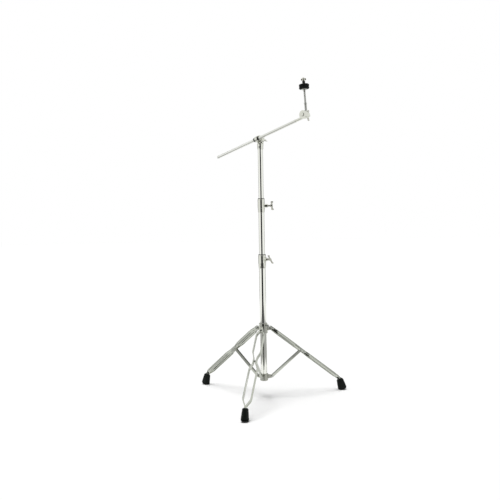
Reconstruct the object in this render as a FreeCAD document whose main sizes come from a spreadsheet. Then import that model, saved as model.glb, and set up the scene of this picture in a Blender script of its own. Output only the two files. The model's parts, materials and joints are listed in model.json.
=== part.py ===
import FreeCAD, Part

# Cymbal boom stand: a double-braced folding tripod, three telescoping tubes, a tilting boom
# and a tilting cymbal seat. Millimetres, +Z up, origin on the pole's axis at the floor.

import math
import os

import Sketcher

# name, millimetres or degrees, meaning
SIZES = (
    ("base_radius", 14.3, "base tube, outside"),
    ("middle_radius", 12.7, "middle tube, outside"),
    ("top_radius", 11.1, "top tube, outside"),
    ("tube_wall", 1.2, "wall of each tube"),
    ("base_length", 517, "base tube"),
    ("middle_length", 500, "middle tube"),
    ("top_length", 480, "top tube"),
    ("middle_exposed", 184, "middle tube showing between the two clamps"),
    ("top_exposed", 213, "top tube showing between the clamp and the boom tilter"),
    ("running_gap", 0.05, "radial clearance of a running fit"),
    ("free_gap", 0.3, "clearance between pieces that pass each other"),
    ("spread", 52.3, "legs' angle from the pole"),
    ("strut", 172.5, "upper leg and brace, pivot to pivot"),
    ("leg_length", 407.6, "leg, collar pivot to neck"),
    ("leg_turn", 18.15, "first leg's angle about the pole"),
    ("pivot_reach", 37, "leg and brace pivots from the pole's axis"),
    ("strip_thick", 2.0, "leg strip's sheet"),
    ("strip_width", 16, "leg strip"),
    ("strip_flare", 14.5, "half of the gap between a leg's strips"),
    ("brace_width", 12, "brace channel, side on"),
    ("brace_depth", 8, "brace channel, across"),
    ("brace_wall", 1.2, "brace channel's sheet"),
    ("lug_thick", 5, "lugs of the collar and the hub"),
    ("pin_radius", 2.8, "pivot pins"),
    ("pin_head", 4.8, "pivot pins' heads, radius"),
    ("head_thick", 1.6, "pivot pins' heads"),
    ("boot_length", 50, "rubber foot"),
    ("boot_radius", 19.5, "rubber foot at the sole"),
    ("boot_top", 14.5, "rubber foot at the shoulder"),
    ("boot_side", 15.5, "half of the rubber foot's width at the sole"),
    ("boot_tilt", 16.5, "foot axis from the pole's direction"),
    ("boot_sink", 2.8, "height of the sole's centre over the floor"),
    ("collar_wall", 3.2, "sliding collar"),
    ("collar_height", 44, "sliding collar"),
    ("liner_wall", 1.5, "plastic liner of the collar"),
    ("hub_wall", 3.4, "lower hub"),
    ("hub_height", 30, "lower hub"),
    ("clamp_wall", 2.6, "height clamps"),
    ("clamp_height", 58, "height clamps"),
    ("lower_grip", 29, "length of the base tube held in its clamp"),
    ("upper_grip", 18, "length of the middle tube held in its clamp"),
    ("bolt_over_grip", 10, "clamp bolts over the end of the held tube"),
    ("lower_bolt_turn", -40, "lower clamp's bolt about the pole"),
    ("upper_bolt_turn", -6, "upper clamp's bolt about the pole"),
    ("collar_bolt_turn", -42, "collar's bolt about the pole"),
    ("bolt_radius", 4, "wing bolts"),
    ("boss_radius", 8, "bosses that take the wing bolts"),
    ("boss_reach", 28, "face of a clamp's boss from the pole's axis"),
    ("wing_stand", 20, "wing bolt's shank outside its boss"),
    ("wing_span", 47, "wings, tip to tip"),
    ("wing_thick", 3.6, "wings"),
    ("ferrule_height", 25.5, "sleeve of the boom tilter"),
    ("ratchet_radius", 17, "ratchet discs"),
    ("ratchet_thick", 8.5, "ratchet discs"),
    ("boom_turn", 40, "boom towards the front"),
    ("boom_rise", 14.47, "boom over level"),
    ("boom_offset", 20, "boom rod from the pole's axis"),
    ("boom_radius", 6.35, "boom rod"),
    ("boom_length", 457, "boom rod"),
    ("boom_rear", 242, "boom rod behind the tilter"),
    ("boom_sleeve_wall", 1.2, "clamping sleeve on the boom"),
    ("boom_eye_length", 26, "eye that holds the boom"),
    ("tip_neck", 28, "boom rod's end to the tip disc's rim"),
    ("tip_rise", 10.6, "tip disc's centre over the boom rod's axis"),
    ("tip_thick", 12, "tip disc"),
    ("tip_head_radius", 13.5, "seat tilter's barrel"),
    ("tip_head_thick", 20, "seat tilter's barrel"),
    ("seat_lean", 4.8, "cymbal rod from upright, towards the boom"),
    ("seat_radius", 4, "cymbal rod"),
    ("seat_length", 150, "cymbal rod above the seat tilter's axis"),
    ("seat_back", 4, "cymbal rod behind the barrel's middle"),
    ("seat_step", 45, "collar on the cymbal rod above the axis"),
    ("felt_bottom", 107, "lower felt above the axis"),
    ("felt_radius", 21, "felts"),
    ("felt_thick", 9.5, "each felt"),
    ("sleeve_radius", 6, "plastic sleeve in the felts"),
)

V = FreeCAD.Vector
X_AXIS, Y_AXIS, Z_AXIS = V(1, 0, 0), V(0, 1, 0), V(0, 0, 1)
LEGS = 3
THROUGH = 200


class Size:
    """A number that carries the sheet expression it was worked out from."""

    def __init__(self, value, text=None):
        self.value = float(value)
        self.text = text or repr(round(float(value), 6))

    def mixed(self, other, sign, value):
        return Size(value, f"({self.text} {sign} {other.text})")

    def __add__(self, other):
        other = as_size(other)
        return self.mixed(other, "+", self.value + other.value)

    def __sub__(self, other):
        other = as_size(other)
        return self.mixed(other, "-", self.value - other.value)

    def __mul__(self, other):
        other = as_size(other)
        return self.mixed(other, "*", self.value * other.value)

    def __truediv__(self, other):
        other = as_size(other)
        return self.mixed(other, "/", self.value / other.value)

    def __radd__(self, other):
        return as_size(other) + self

    def __rsub__(self, other):
        return as_size(other) - self

    def __rmul__(self, other):
        return as_size(other) * self

    def __neg__(self):
        return as_size(0) - self


def as_size(number):
    return number if isinstance(number, Size) else Size(number)


def sine(angle):
    return Size(math.sin(math.radians(angle.value)), f"sin({angle.text})")


def cosine(angle):
    return Size(math.cos(math.radians(angle.value)), f"cos({angle.text})")


doc = FreeCAD.newDocument("CymbalBoomStand")
sheet = doc.addObject("Spreadsheet::Sheet", "sizes")
size = {}
for row, (alias, number, meaning) in enumerate(SIZES, start=1):
    sheet.set(f"A{row}", meaning)
    sheet.set(f"B{row}", str(number))
    sheet.setAlias(f"B{row}", alias)
    size[alias] = Size(number, f"sizes.{alias}")
doc.recompute()
sub_parts = []


# ---------------------------------------------------------------- drawing and features


def new_body(label):
    body = doc.addObject("PartDesign::Body", label)
    body.Label = label
    sub_parts.append(body)
    return body


def origin_feature(body, role):
    return next(f for f in body.Origin.OriginFeatures if f.Role == role)


def sketch_on(body, plane, offset):
    """Empty sketch parallel to an origin plane; offset is along +X, -Y or +Z."""
    sketch = body.newObject("Sketcher::SketchObject", "sketch")
    sketch.AttachmentSupport = [(origin_feature(body, plane), "")]
    sketch.MapMode = "FlatFace"
    sketch.setExpression("AttachmentOffset.Base.z", as_size(offset).text)
    return sketch


def pin_down(sketch, curve, point, place):
    """Tie one point of a curve to its two sizes from the sketch's origin."""
    for kind, coordinate in zip(("DistanceX", "DistanceY"), place):
        coordinate = as_size(coordinate)
        tie = Sketcher.Constraint(kind, -1, 1, curve, point, coordinate.value)
        index = sketch.addConstraint(tie)
        sketch.setExpression(f"Constraints[{index}]", coordinate.text)


def outline(body, plane, points, offset=0):
    sketch = sketch_on(body, plane, offset)
    corners = [V(as_size(a).value, as_size(b).value, 0) for a, b in points]
    for index, corner in enumerate(corners):
        sketch.addGeometry(Part.LineSegment(corner, corners[(index + 1) % len(corners)]))
    for index, place in enumerate(points):
        following = (index + 1) % len(points)
        sketch.addConstraint(Sketcher.Constraint("Coincident", index, 2, following, 1))
        pin_down(sketch, index, 1, place)
    return sketch


def circle(body, plane, centre, radius, offset=0):
    sketch = sketch_on(body, plane, offset)
    radius = as_size(radius)
    middle = V(as_size(centre[0]).value, as_size(centre[1]).value, 0)
    sketch.addGeometry(Part.Circle(middle, Z_AXIS, radius.value))
    index = sketch.addConstraint(Sketcher.Constraint("Radius", 0, radius.value))
    sketch.setExpression(f"Constraints[{index}]", radius.text)
    pin_down(sketch, 0, 3, centre)
    return sketch


def extrude(body, sketch, depth, kind="Pad"):
    """Pad or Pocket, half its depth on each side of the sketch."""
    feature = body.newObject(f"PartDesign::{kind}", kind.lower())
    feature.Profile = sketch
    feature.SideType = "Symmetric"
    feature.setExpression("Length", as_size(depth).text)
    body.Tip = feature
    return feature


def pocket(body, sketch, depth):
    return extrude(body, sketch, depth, "Pocket")


def turn(body, profile):
    """Revolve an outline of (radius, height) points about the body's Z axis."""
    sketch = outline(body, "XZ_Plane", profile)
    feature = body.newObject("PartDesign::Revolution", "revolution")
    feature.Profile = sketch
    feature.ReferenceAxis = (sketch, ["V_Axis"])
    feature.Angle = 360
    body.Tip = feature
    return feature


def repeat_round(body, features, count=LEGS):
    pattern = body.newObject("PartDesign::PolarPattern", "around")
    pattern.Originals = features
    pattern.Axis = (origin_feature(body, "Z_Axis"), [""])
    pattern.Angle = 360
    pattern.Occurrences = count
    body.Tip = pattern
    return pattern


def place(body, base=(0, 0, 0), turns=()):
    """Turns are (axis, Size) pairs, the outermost first."""
    rotation = FreeCAD.Rotation()
    for axis, angle in turns:
        rotation = rotation * FreeCAD.Rotation(axis, as_size(angle).value)
    body.Placement = FreeCAD.Placement(V(*(as_size(b).value for b in base)), rotation)


def tube(label, inner, outer, bottom, top):
    body = new_body(label)
    turn(body, ((inner, bottom), (outer, bottom), (outer, top), (inner, top)))
    return body


def wing_outline(base, span):
    """Half-butterfly on each side of the axis, from base outwards."""
    half = span / 2
    right = [(3, base), (half - 6, base + 4), (half, base + 6), (half, base + 13)]
    right += [(half - 4, base + 14), (7, base + 9)]
    left = [(-as_size(a), b) for a, b in reversed(right)]
    return right + left


def wing_bolt(label, shank, span, hub_radius, tip, face):
    """Bolt along +Z from its tip to its hub's face, with a pair of wings beyond."""
    body = new_body(label)
    hub = face + 9
    turn(body, ((0, tip), (shank, tip), (shank, face), (hub_radius, face),
                (hub_radius, hub), (0, hub)))
    extrude(body, outline(body, "XZ_Plane", wing_outline(face + 2, span)), size["wing_thick"])
    return body


def wing_nut(label, bolt, span, hub_radius, face):
    """Wing nut along +Z with its seat at face; it runs on a bolt."""
    body = new_body(label)
    bore = bolt + size["running_gap"]
    top = face + 10
    turn(body, ((bore, face), (hub_radius, face), (hub_radius - 1.5, top), (bore, top)))
    extrude(body, outline(body, "XZ_Plane", wing_outline(face + 2, span)), size["wing_thick"])
    pocket(body, circle(body, "XY_Plane", (0, 0), bore), 2 * (face + 40))
    return body


# ---------------------------------------------------------------- heights along the pole

s = size
run, free = s["running_gap"], s["free_gap"]
neck_height = s["boot_length"] * cosine(s["boot_tilt"]) + s["boot_sink"]
neck_reach = s["pivot_reach"] + s["leg_length"] * sine(s["spread"])
collar_pivot = neck_height + s["leg_length"] * cosine(s["spread"])
hub_pivot = collar_pivot - 2 * s["strut"] * cosine(s["spread"])
hub_bottom = hub_pivot - s["hub_height"] / 2
base_bottom = hub_bottom + 2
base_top = base_bottom + s["base_length"]
lower_bottom = base_top - s["lower_grip"]
lower_top = lower_bottom + s["clamp_height"]
upper_bottom = lower_top + s["middle_exposed"]
middle_top = upper_bottom + s["upper_grip"]
upper_top = upper_bottom + s["clamp_height"]
ferrule_bottom = upper_top + s["top_exposed"]
boom_height = ferrule_bottom + s["ferrule_height"] + s["ratchet_radius"] + free
top_tube_top = ferrule_bottom + s["ferrule_height"] - 6
droop = 90 - s["spread"]


# ---------------------------------------------------------------- pole and clamps


def clamp(label, tube_radius, next_radius, bottom, grip, bolt_turn):
    """Split casting on a tube's end, with a boss for the wing bolt over the bushing."""
    body = new_body(label)
    top = bottom + s["clamp_height"]
    inner = tube_radius
    outer = tube_radius + s["clamp_wall"]
    turn(body, ((inner, bottom), (inner + 1.2, bottom), (outer, bottom + 22),
                (outer, top - 1), (outer - 1, top), (inner, top)))
    bolt_height = bottom + grip + s["bolt_over_grip"]
    boss = extrude(body, circle(body, "YZ_Plane", (0, bolt_height), s["boss_radius"],
                                s["boss_reach"] - 8), 16)
    boss.Refine = True
    pocket(body, circle(body, "XY_Plane", (0, 0), inner), 2 * (top + 1))
    pocket(body, circle(body, "YZ_Plane", (0, bolt_height), s["bolt_radius"] + run, 25), 50)
    place(body, turns=((Z_AXIS, bolt_turn),))
    bushing = new_body(label.replace("clamp", "bushing"))
    seat = bottom + grip
    slide = next_radius + run
    turn(bushing, ((slide, seat + free), (inner - run, seat + free), (inner - run, top + free),
                   (outer - 1, top + free), (outer - 1.4, top + 2.4), (slide, top + 2.4)))
    bolt = wing_bolt(label.replace("clamp", "wing_bolt"), s["bolt_radius"], s["wing_span"], 6,
                     inner + free, s["boss_reach"] + s["wing_stand"] - 8)
    place(bolt, (0, 0, bolt_height), ((Z_AXIS, bolt_turn), (Y_AXIS, 90), (Z_AXIS, 38)))
    return body


tube("base_tube", s["base_radius"] - s["tube_wall"], s["base_radius"], base_bottom, base_top)
middle_bottom = middle_top - s["middle_length"]
tube("middle_tube", s["middle_radius"] - s["tube_wall"], s["middle_radius"],
     middle_bottom, middle_top)
top_bottom = top_tube_top - s["top_length"]
tube("top_tube", s["top_radius"] - s["tube_wall"], s["top_radius"], top_bottom, top_tube_top)
clamp("lower_clamp", s["base_radius"], s["middle_radius"], lower_bottom, s["lower_grip"],
      s["lower_bolt_turn"])
clamp("upper_clamp", s["middle_radius"], s["top_radius"], upper_bottom, s["upper_grip"],
      s["upper_bolt_turn"])

plug = new_body("base_tube_plug")
plug_radius = s["base_radius"] - s["tube_wall"]
turn(plug, ((0, base_bottom - 3), (s["base_radius"], base_bottom - 3),
            (s["base_radius"], base_bottom), (plug_radius, base_bottom),
            (plug_radius, base_bottom + 10), (0, base_bottom + 10)))


# ---------------------------------------------------------------- hub, collar and their pins


def lugged_ring(label, inner, wall, bottom, height, pivot, round_end):
    """Ring on the base tube with a drilled lug for each leg."""
    body = new_body(label)
    outer = inner + wall
    ring = ((inner, bottom), (outer - 1, bottom), (outer, bottom + 1),
            (outer, bottom + height - 1), (outer - 1, bottom + height), (inner, bottom + height))
    turn(body, ring)
    start = inner + wall / 2
    tip = s["pivot_reach"] + round_end
    cut = round_end / 2
    lug_points = ((start, pivot - 9), (s["pivot_reach"], pivot - round_end),
                  (tip - cut, pivot - round_end), (tip, pivot - cut), (tip, pivot + cut),
                  (tip - cut, pivot + round_end), (s["pivot_reach"], pivot + round_end),
                  (start, pivot + 11))
    lug = extrude(body, outline(body, "XZ_Plane", lug_points), s["lug_thick"])
    repeat_round(body, [lug])
    spot = circle(body, "XZ_Plane", (s["pivot_reach"], pivot), s["pin_radius"])
    repeat_round(body, [pocket(body, spot, s["lug_thick"] * 2)])
    place(body, turns=((Z_AXIS, s["leg_turn"]),))
    return body


def pivot_pins(label, pivot, half_grip):
    """One headed pin across each lug."""
    body = new_body(label)
    body.AllowCompound = True
    centre = (s["pivot_reach"], pivot)
    inner_face = half_grip + free
    pin = [extrude(body, circle(body, "XZ_Plane", centre, s["pin_radius"]), 2 * inner_face)]
    for side in (1, -1):
        middle = side * (inner_face + s["head_thick"] / 2)
        head = circle(body, "XZ_Plane", centre, s["pin_head"], middle)
        pin.append(extrude(body, head, s["head_thick"]))
    repeat_round(body, pin)
    place(body, turns=((Z_AXIS, s["leg_turn"]),))
    return body


lug_end = Size(6)
lugged_ring("lower_hub", s["base_radius"], s["hub_wall"], hub_bottom, s["hub_height"],
            hub_pivot, lug_end)
pivot_pins("hub_pins", hub_pivot, s["brace_depth"] / 2)
liner_inner = s["base_radius"] + run
collar_bottom = collar_pivot - 19
tube("collar_liner", liner_inner, liner_inner + s["liner_wall"], collar_bottom - 1,
     collar_bottom + s["collar_height"] + 1)
collar = lugged_ring("leg_collar", liner_inner + s["liner_wall"], s["collar_wall"],
                     collar_bottom, s["collar_height"], collar_pivot, lug_end)
strip_pinch = s["lug_thick"] / 2 + free
pivot_pins("collar_pins", collar_pivot, strip_pinch + s["strip_thick"])

# the collar's lock bolt sits between two legs, above their pivots
bolt_height = collar_bottom + s["collar_height"] - 9
lock = new_body("collar_lock_bolt")
lock_face = liner_inner + s["liner_wall"] + s["collar_wall"] + 5
lock_radius, lock_tip = Size(3), liner_inner + s["liner_wall"] + run
turn(lock, ((0, lock_tip), (lock_radius, lock_tip), (lock_radius, lock_face),
            (2 * lock_radius, lock_face), (2 * lock_radius, lock_face + 3),
            (0, lock_face + 3)))
key = s["pin_radius"]
extrude(lock, outline(lock, "XZ_Plane", ((-key, lock_face), (key, lock_face),
                                         (key, lock_face + 9), (-key, lock_face + 9))), 2 * key)
place(lock, (0, 0, bolt_height), ((Z_AXIS, s["collar_bolt_turn"]), (Y_AXIS, 90)))
relative = s["collar_bolt_turn"] - s["leg_turn"]
hole_tool = circle(collar, "XY_Plane", (0, 0), lock_radius + run)
hole_tool.MapMode = "Deactivated"
hole_tool.Placement = FreeCAD.Placement(
    V(0, 0, bolt_height.value),
    FreeCAD.Rotation(Z_AXIS, relative.value) * FreeCAD.Rotation(Y_AXIS, -90))
lock_hole = pocket(collar, hole_tool, 60)
lock_hole.SideType = "One side"


# ---------------------------------------------------------------- legs and braces


def strip_half(side):
    """One leg strip's plan outline: pinched at the lug and the brace, flared between."""
    eye = s["strip_width"] / 2
    thick = s["strip_thick"]
    waist = s["brace_depth"] / 2 + free
    mid, end, wide = s["strut"], s["leg_length"], s["strip_flare"]
    inner = ((-eye, strip_pinch), (7, strip_pinch), (29, wide), (mid - 40, wide),
             (mid - 14, waist), (mid + 20, waist), (mid + 44, wide), (end - 35, wide),
             (end - 8, 0), (end - 3, 0))
    outer = [(x, as_size(y) + thick) for x, y in reversed(inner)]
    return [(x, side * as_size(y)) for x, y in list(inner) + outer]


def bent_tab():
    """Side view of a strip's end, which turns down into the foot."""
    bend = s["spread"] - s["boot_tilt"]
    half, end, reach = Size(7), s["leg_length"], Size(32)
    corner = half * sine(bend / 2) / cosine(bend / 2)
    down_x, down_z = cosine(bend) * reach, -sine(bend) * reach
    over_x, over_z = sine(bend) * half, cosine(bend) * half
    return ((end - 8, half), (end + corner, half), (end + down_x + over_x, down_z + over_z),
            (end + down_x - over_x, down_z - over_z), (end - corner, -half), (end - 8, -half))


def leg_strip(label, side, turns, base):
    body = new_body(label)
    extrude(body, outline(body, "XY_Plane", strip_half(side)), s["strip_width"])
    middle = -side * s["strip_thick"] / 2
    extrude(body, outline(body, "XZ_Plane", bent_tab(), middle), s["strip_thick"])
    pocket(body, circle(body, "XZ_Plane", (0, 0), s["pin_radius"] + run), THROUGH)
    for spot in rivet_spots():
        pocket(body, circle(body, "XZ_Plane", (spot, 0), s["pin_radius"]), THROUGH)
    place(body, base, turns)
    return body


def rivet_spots():
    return s["strut"], s["strut"] + 15


def leg_rivets(label, turns, base):
    """Stub rivets of both strips: the brace's eye turns between them."""
    body = new_body(label)
    body.AllowCompound = True
    waist = s["brace_depth"] / 2 + free
    thick = s["strip_thick"]
    for spot in rivet_spots():
        for side in (1, -1):
            shank = circle(body, "XZ_Plane", (spot, 0), s["pin_radius"],
                           side * (waist + thick / 2))
            extrude(body, shank, thick)
            head = circle(body, "XZ_Plane", (spot, 0), s["pin_head"],
                          side * (waist + thick + s["head_thick"] / 2))
            extrude(body, head, s["head_thick"])
    place(body, base, turns)
    return body


def brace(label, turns, base):
    """Channel with its web outwards and its two cheeks open at the ends."""
    body = new_body(label)
    half, length, wall = s["brace_width"] / 2, s["strut"], s["brace_wall"]
    cut = half / 2
    side_view = ((-half, -cut), (-cut, -half), (length + cut, -half), (length + half, -cut),
                 (length + half, cut), (length + cut, half), (-cut, half), (-half, cut))
    extrude(body, outline(body, "XZ_Plane", side_view), s["brace_depth"])
    clear = half + 4
    hollow = ((-clear, -clear), (clear, -clear), (clear, wall - half),
              (length + clear, wall - half), (length + clear, clear), (-clear, clear))
    pocket(body, outline(body, "XZ_Plane", hollow), s["brace_depth"] - 2 * wall)
    pocket(body, circle(body, "XZ_Plane", (0, 0), s["pin_radius"] + run), THROUGH)
    pocket(body, circle(body, "XZ_Plane", (length, 0), s["pin_radius"] + run), THROUGH)
    body.AllowCompound = True
    place(body, base, turns)
    return body


def foot(label, turns, base):
    """Rubber boot with a slot for the strips' ends and a bearing facet at the floor."""
    body = new_body(label)
    sole, shoulder, length = s["boot_radius"], s["boot_top"], s["boot_length"]
    turn(body, ((0, -length), (sole - 3, -length), (sole - 0.8, 2.2 - length),
                (sole, 6 - length), (shoulder + 1, -9), (shoulder - 2, -4),
                (shoulder - 7, -2), (0, -2)))
    half, thick = Size(7), s["strip_thick"]
    slot = ((-half, Size(-32)), (half, Size(-32)), (half, 2), (-half, 2))
    pocket(body, outline(body, "XZ_Plane", slot), 2 * thick)
    far = Size(30)
    side, side_top = s["boot_side"], s["boot_side"] * s["boot_top"] / sole
    for sign in (1, -1):
        flat = ((sign * side, -length - 1), (sign * side, 6 - length), (sign * side_top, 0),
                (sign * far, 0), (sign * far, -length - 1))
        pocket(body, outline(body, "YZ_Plane", flat), THROUGH)
    tilt = s["boot_tilt"]
    low = (-neck_height + far * sine(tilt)) / cosine(tilt)
    high = (-neck_height - far * sine(tilt)) / cosine(tilt)
    floor = ((-far, low), (far, high), (far, low - 40), (-far, low - 40))
    pocket(body, outline(body, "XZ_Plane", floor), THROUGH)
    place(body, base, turns)
    return body


for number in range(1, LEGS + 1):
    turned = s["leg_turn"] + (number - 1) * 360 / LEGS
    along = (cosine(turned) * s["pivot_reach"], sine(turned) * s["pivot_reach"])
    leg_base = (*along, collar_pivot)
    leg_turns = ((Z_AXIS, turned), (Y_AXIS, droop))
    leg_strip(f"leg_{number}_strip_left", -1, leg_turns, leg_base)
    leg_strip(f"leg_{number}_strip_right", 1, leg_turns, leg_base)
    leg_rivets(f"leg_{number}_rivets", leg_turns, leg_base)
    brace(f"brace_{number}", ((Z_AXIS, turned), (Y_AXIS, -droop)), (*along, hub_pivot))
    neck = (cosine(turned) * neck_reach, sine(turned) * neck_reach, neck_height)
    foot(f"foot_{number}", ((Z_AXIS, turned), (Y_AXIS, -s["boot_tilt"])), neck)


# ---------------------------------------------------------------- boom tilter

# the tilter's frame: X along the boom's heading, Y away from the rod, origin on the hinge axis
tilter_turn = ((Z_AXIS, -s["boom_turn"]),)
boom_turns = ((Z_AXIS, -s["boom_turn"]), (Y_AXIS, -s["boom_rise"]))
tilter_base_point = (0, 0, boom_height)
split_face = Size(-1)
disc = s["ratchet_thick"]

tilter = new_body("tilter_base")
drop = ferrule_bottom - boom_height
shelf = top_tube_top - boom_height
cap = drop + s["ferrule_height"]
outer = s["top_radius"] + 2.6
turn(tilter, ((s["top_radius"], drop), (outer - 1.2, drop), (outer, cap - 4), (outer - 1.5, cap),
              (0, cap), (0, shelf), (s["top_radius"], shelf)))
disc_back = split_face + disc + 1.5
# sketches on the XZ plane step along -Y, so a place at +y is an offset of -y
extrude(tilter, circle(tilter, "XZ_Plane", (0, 0), s["ratchet_radius"],
                       -(split_face + disc_back) / 2), disc_back - split_face)
neck_half = s["ratchet_radius"] - 6
extrude(tilter, outline(tilter, "XZ_Plane", ((-neck_half, cap - 2), (neck_half, cap - 2),
                                             (neck_half, -8), (-neck_half, -8)),
                        -(split_face + disc_back) / 2), disc_back - split_face)
pocket(tilter, circle(tilter, "XZ_Plane", (0, 0), s["bolt_radius"] + run), THROUGH)
place(tilter, tilter_base_point, tilter_turn)

screw = new_body("ferrule_screw")
turn(screw, ((0, s["top_radius"]), (1.8, s["top_radius"]), (1.8, outer), (3.2, outer),
             (2.6, outer + 1.6), (0, outer + 1.6)))
screw_height = ferrule_bottom + 9
place(screw, (0, 0, screw_height), ((Z_AXIS, Size(-118)), (Y_AXIS, 90)))
screw_hole = circle(tilter, "XY_Plane", (0, 0), 1.8)
screw_hole.MapMode = "Deactivated"
screw_hole.Placement = FreeCAD.Placement(
    V(0, 0, (screw_height - boom_height).value),
    FreeCAD.Rotation(Z_AXIS, -118 + s["boom_turn"].value) * FreeCAD.Rotation(Y_AXIS, -90))
screw_pocket = pocket(tilter, screw_hole, 40)
screw_pocket.SideType = "One side"

head = new_body("tilter_head")
head_face = split_face - free
head_back = head_face - disc
extrude(head, circle(head, "XZ_Plane", (0, 0), s["ratchet_radius"],
                     -(head_face + head_back) / 2), disc)
sleeve_outer = s["boom_radius"] + run + s["boom_sleeve_wall"]
saddle_radius = sleeve_outer + run + 2.6
extrude(head, circle(head, "YZ_Plane", (-s["boom_offset"], 0), saddle_radius),
        s["boom_eye_length"])
web_half = s["boom_eye_length"] / 2
web_depth = s["boom_offset"] + head_back
extrude(head, outline(head, "XZ_Plane", ((-web_half, -9), (web_half, -9), (web_half, 9),
                                         (-web_half, 9)),
                      (s["boom_offset"] - head_back) / 2), web_depth)
pocket(head, circle(head, "YZ_Plane", (-s["boom_offset"], 0), sleeve_outer + run), THROUGH)
ring_half = Size(6.5)
ring_radius = sleeve_outer + run + 4.2
slot_half = ring_half + free
slot_floor = -s["boom_offset"] + ring_radius + free
slot_far = -2 * s["boom_offset"]
open_front = -s["boom_offset"] - 2
pocket(head, outline(head, "XY_Plane", ((-slot_half, slot_far), (slot_half, slot_far),
                                        (slot_half, slot_floor), (-slot_half, slot_floor))),
       THROUGH)
pocket(head, outline(head, "XY_Plane", ((-THROUGH, slot_far), (THROUGH, slot_far),
                                        (THROUGH, open_front), (-THROUGH, open_front))),
       THROUGH)
pocket(head, circle(head, "XZ_Plane", (0, 0), s["bolt_radius"]), 2 * s["boom_offset"])
place(head, tilter_base_point, boom_turns)

# the eye of this bolt goes round the boom; its wing nut draws the boom onto the saddle
eye_bolt = new_body("tilter_eye_bolt")
bolt_end = disc_back + 26
extrude(eye_bolt, circle(eye_bolt, "YZ_Plane", (-s["boom_offset"], 0), ring_radius),
        2 * ring_half)
shank_start = -s["boom_offset"]
extrude(eye_bolt, circle(eye_bolt, "XZ_Plane", (0, 0), s["bolt_radius"],
                         -(shank_start + bolt_end) / 2), bolt_end - shank_start)
pocket(eye_bolt, circle(eye_bolt, "YZ_Plane", (-s["boom_offset"], 0), sleeve_outer + run),
       THROUGH)
place(eye_bolt, tilter_base_point, boom_turns)

washer = new_body("tilter_washer")
turn(washer, ((s["bolt_radius"] + run, disc_back), (9, disc_back), (9, disc_back + 1.6),
              (s["bolt_radius"] + run, disc_back + 1.6)))
place(washer, tilter_base_point, tilter_turn + ((X_AXIS, -90),))
nut = wing_nut("tilter_wing_nut", s["bolt_radius"], s["wing_span"], Size(8),
               disc_back + 1.6 + free)
place(nut, tilter_base_point, boom_turns + ((X_AXIS, -90), (Z_AXIS, 35)))


def in_boom(x, y, z):
    """Point of the boom's frame, in the stand's frame."""
    level = cosine(s["boom_rise"]) * x - sine(s["boom_rise"]) * z
    lift = sine(s["boom_rise"]) * x + cosine(s["boom_rise"]) * z
    turned = s["boom_turn"]
    return (cosine(turned) * level + sine(turned) * y,
            -sine(turned) * level + cosine(turned) * y, boom_height + lift)


sleeve = new_body("boom_sleeve")
sleeve_half = s["boom_eye_length"] / 2
turn(sleeve, ((s["boom_radius"] + run, -sleeve_half - 2), (sleeve_outer + 2, -sleeve_half - 2),
              (sleeve_outer + 2, -sleeve_half - free), (sleeve_outer, -sleeve_half - free),
              (sleeve_outer, sleeve_half), (s["boom_radius"] + run, sleeve_half)))
place(sleeve, in_boom(0, -s["boom_offset"], 0), boom_turns + ((Y_AXIS, 90),))

rod = new_body("boom_rod")
rod_front = s["boom_length"] - s["boom_rear"]
groove_radius, groove_front, groove_rear = s["boom_radius"] - 0.3, Size(-22), Size(-24)
turn(rod, ((0, -s["boom_rear"]), (s["boom_radius"] - 0.8, -s["boom_rear"]),
           (s["boom_radius"], 0.8 - s["boom_rear"]), (s["boom_radius"], groove_rear),
           (groove_radius, groove_rear), (groove_radius, groove_front),
           (s["boom_radius"], groove_front), (s["boom_radius"], rod_front), (0, rod_front)))
place(rod, in_boom(0, -s["boom_offset"], 0), boom_turns + ((Y_AXIS, 90),))

# ---------------------------------------------------------------- cymbal seat tilter

tip_x = rod_front + s["tip_neck"] + cosine(Size(30)) * s["ratchet_radius"]
tip_point = in_boom(tip_x, 0, s["tip_rise"])
tip_front = -s["boom_offset"] - s["tip_thick"] / 2
tip_split = tip_front + s["tip_thick"]
tip = new_body("tip_disc")
extrude(tip, circle(tip, "XZ_Plane", (0, 0), s["ratchet_radius"], -(tip_front + tip_split) / 2),
        s["tip_thick"])
neck_radius = s["boom_radius"] - 0.6
extrude(tip, circle(tip, "YZ_Plane", (-s["boom_offset"], -s["tip_rise"]), neck_radius,
                    (rod_front - tip_x) / 2), tip_x - rod_front)
pocket(tip, circle(tip, "XZ_Plane", (0, 0), s["bolt_radius"]), THROUGH)
recess = Size(2)
pocket(tip, circle(tip, "XZ_Plane", (0, 0), 8, -tip_front), 2 * recess)
place(tip, tip_point, boom_turns)

tip_bolt = new_body("tip_bolt")
head_depth = s["tip_head_thick"]
tip_back = tip_split + free + head_depth
tip_end = tip_back + 16
turn(tip_bolt, ((0, tip_front - 2.5), (5.5, tip_front - 2.5), (7.5, tip_front - 1),
                (7.5, tip_front + recess), (s["bolt_radius"], tip_front + recess),
                (s["bolt_radius"], tip_end), (0, tip_end)))
place(tip_bolt, tip_point, boom_turns + ((X_AXIS, -90),))

seat_turns = ((Z_AXIS, -s["boom_turn"]), (Y_AXIS, -s["seat_lean"]))
barrel = new_body("seat_tilter")
barrel_front = tip_split + free
barrel_middle = (barrel_front + tip_back) / 2
seat_plane = barrel_middle + s["seat_back"]
extrude(barrel, circle(barrel, "XZ_Plane", (0, 0), s["tip_head_radius"], -barrel_middle),
        head_depth)
rim = Size(4)
extrude(barrel, circle(barrel, "XZ_Plane", (0, 0), s["ratchet_radius"] - 1,
                       -(barrel_front + rim / 2)), rim)
extrude(barrel, circle(barrel, "XY_Plane", (0, seat_plane), 5.9, 10), 16)
pocket(barrel, circle(barrel, "XZ_Plane", (0, 0), s["bolt_radius"] + run), THROUGH)
pocket(barrel, circle(barrel, "XY_Plane", (0, seat_plane), s["seat_radius"], 8 + 10), 20)
place(barrel, tip_point, seat_turns)

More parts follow.
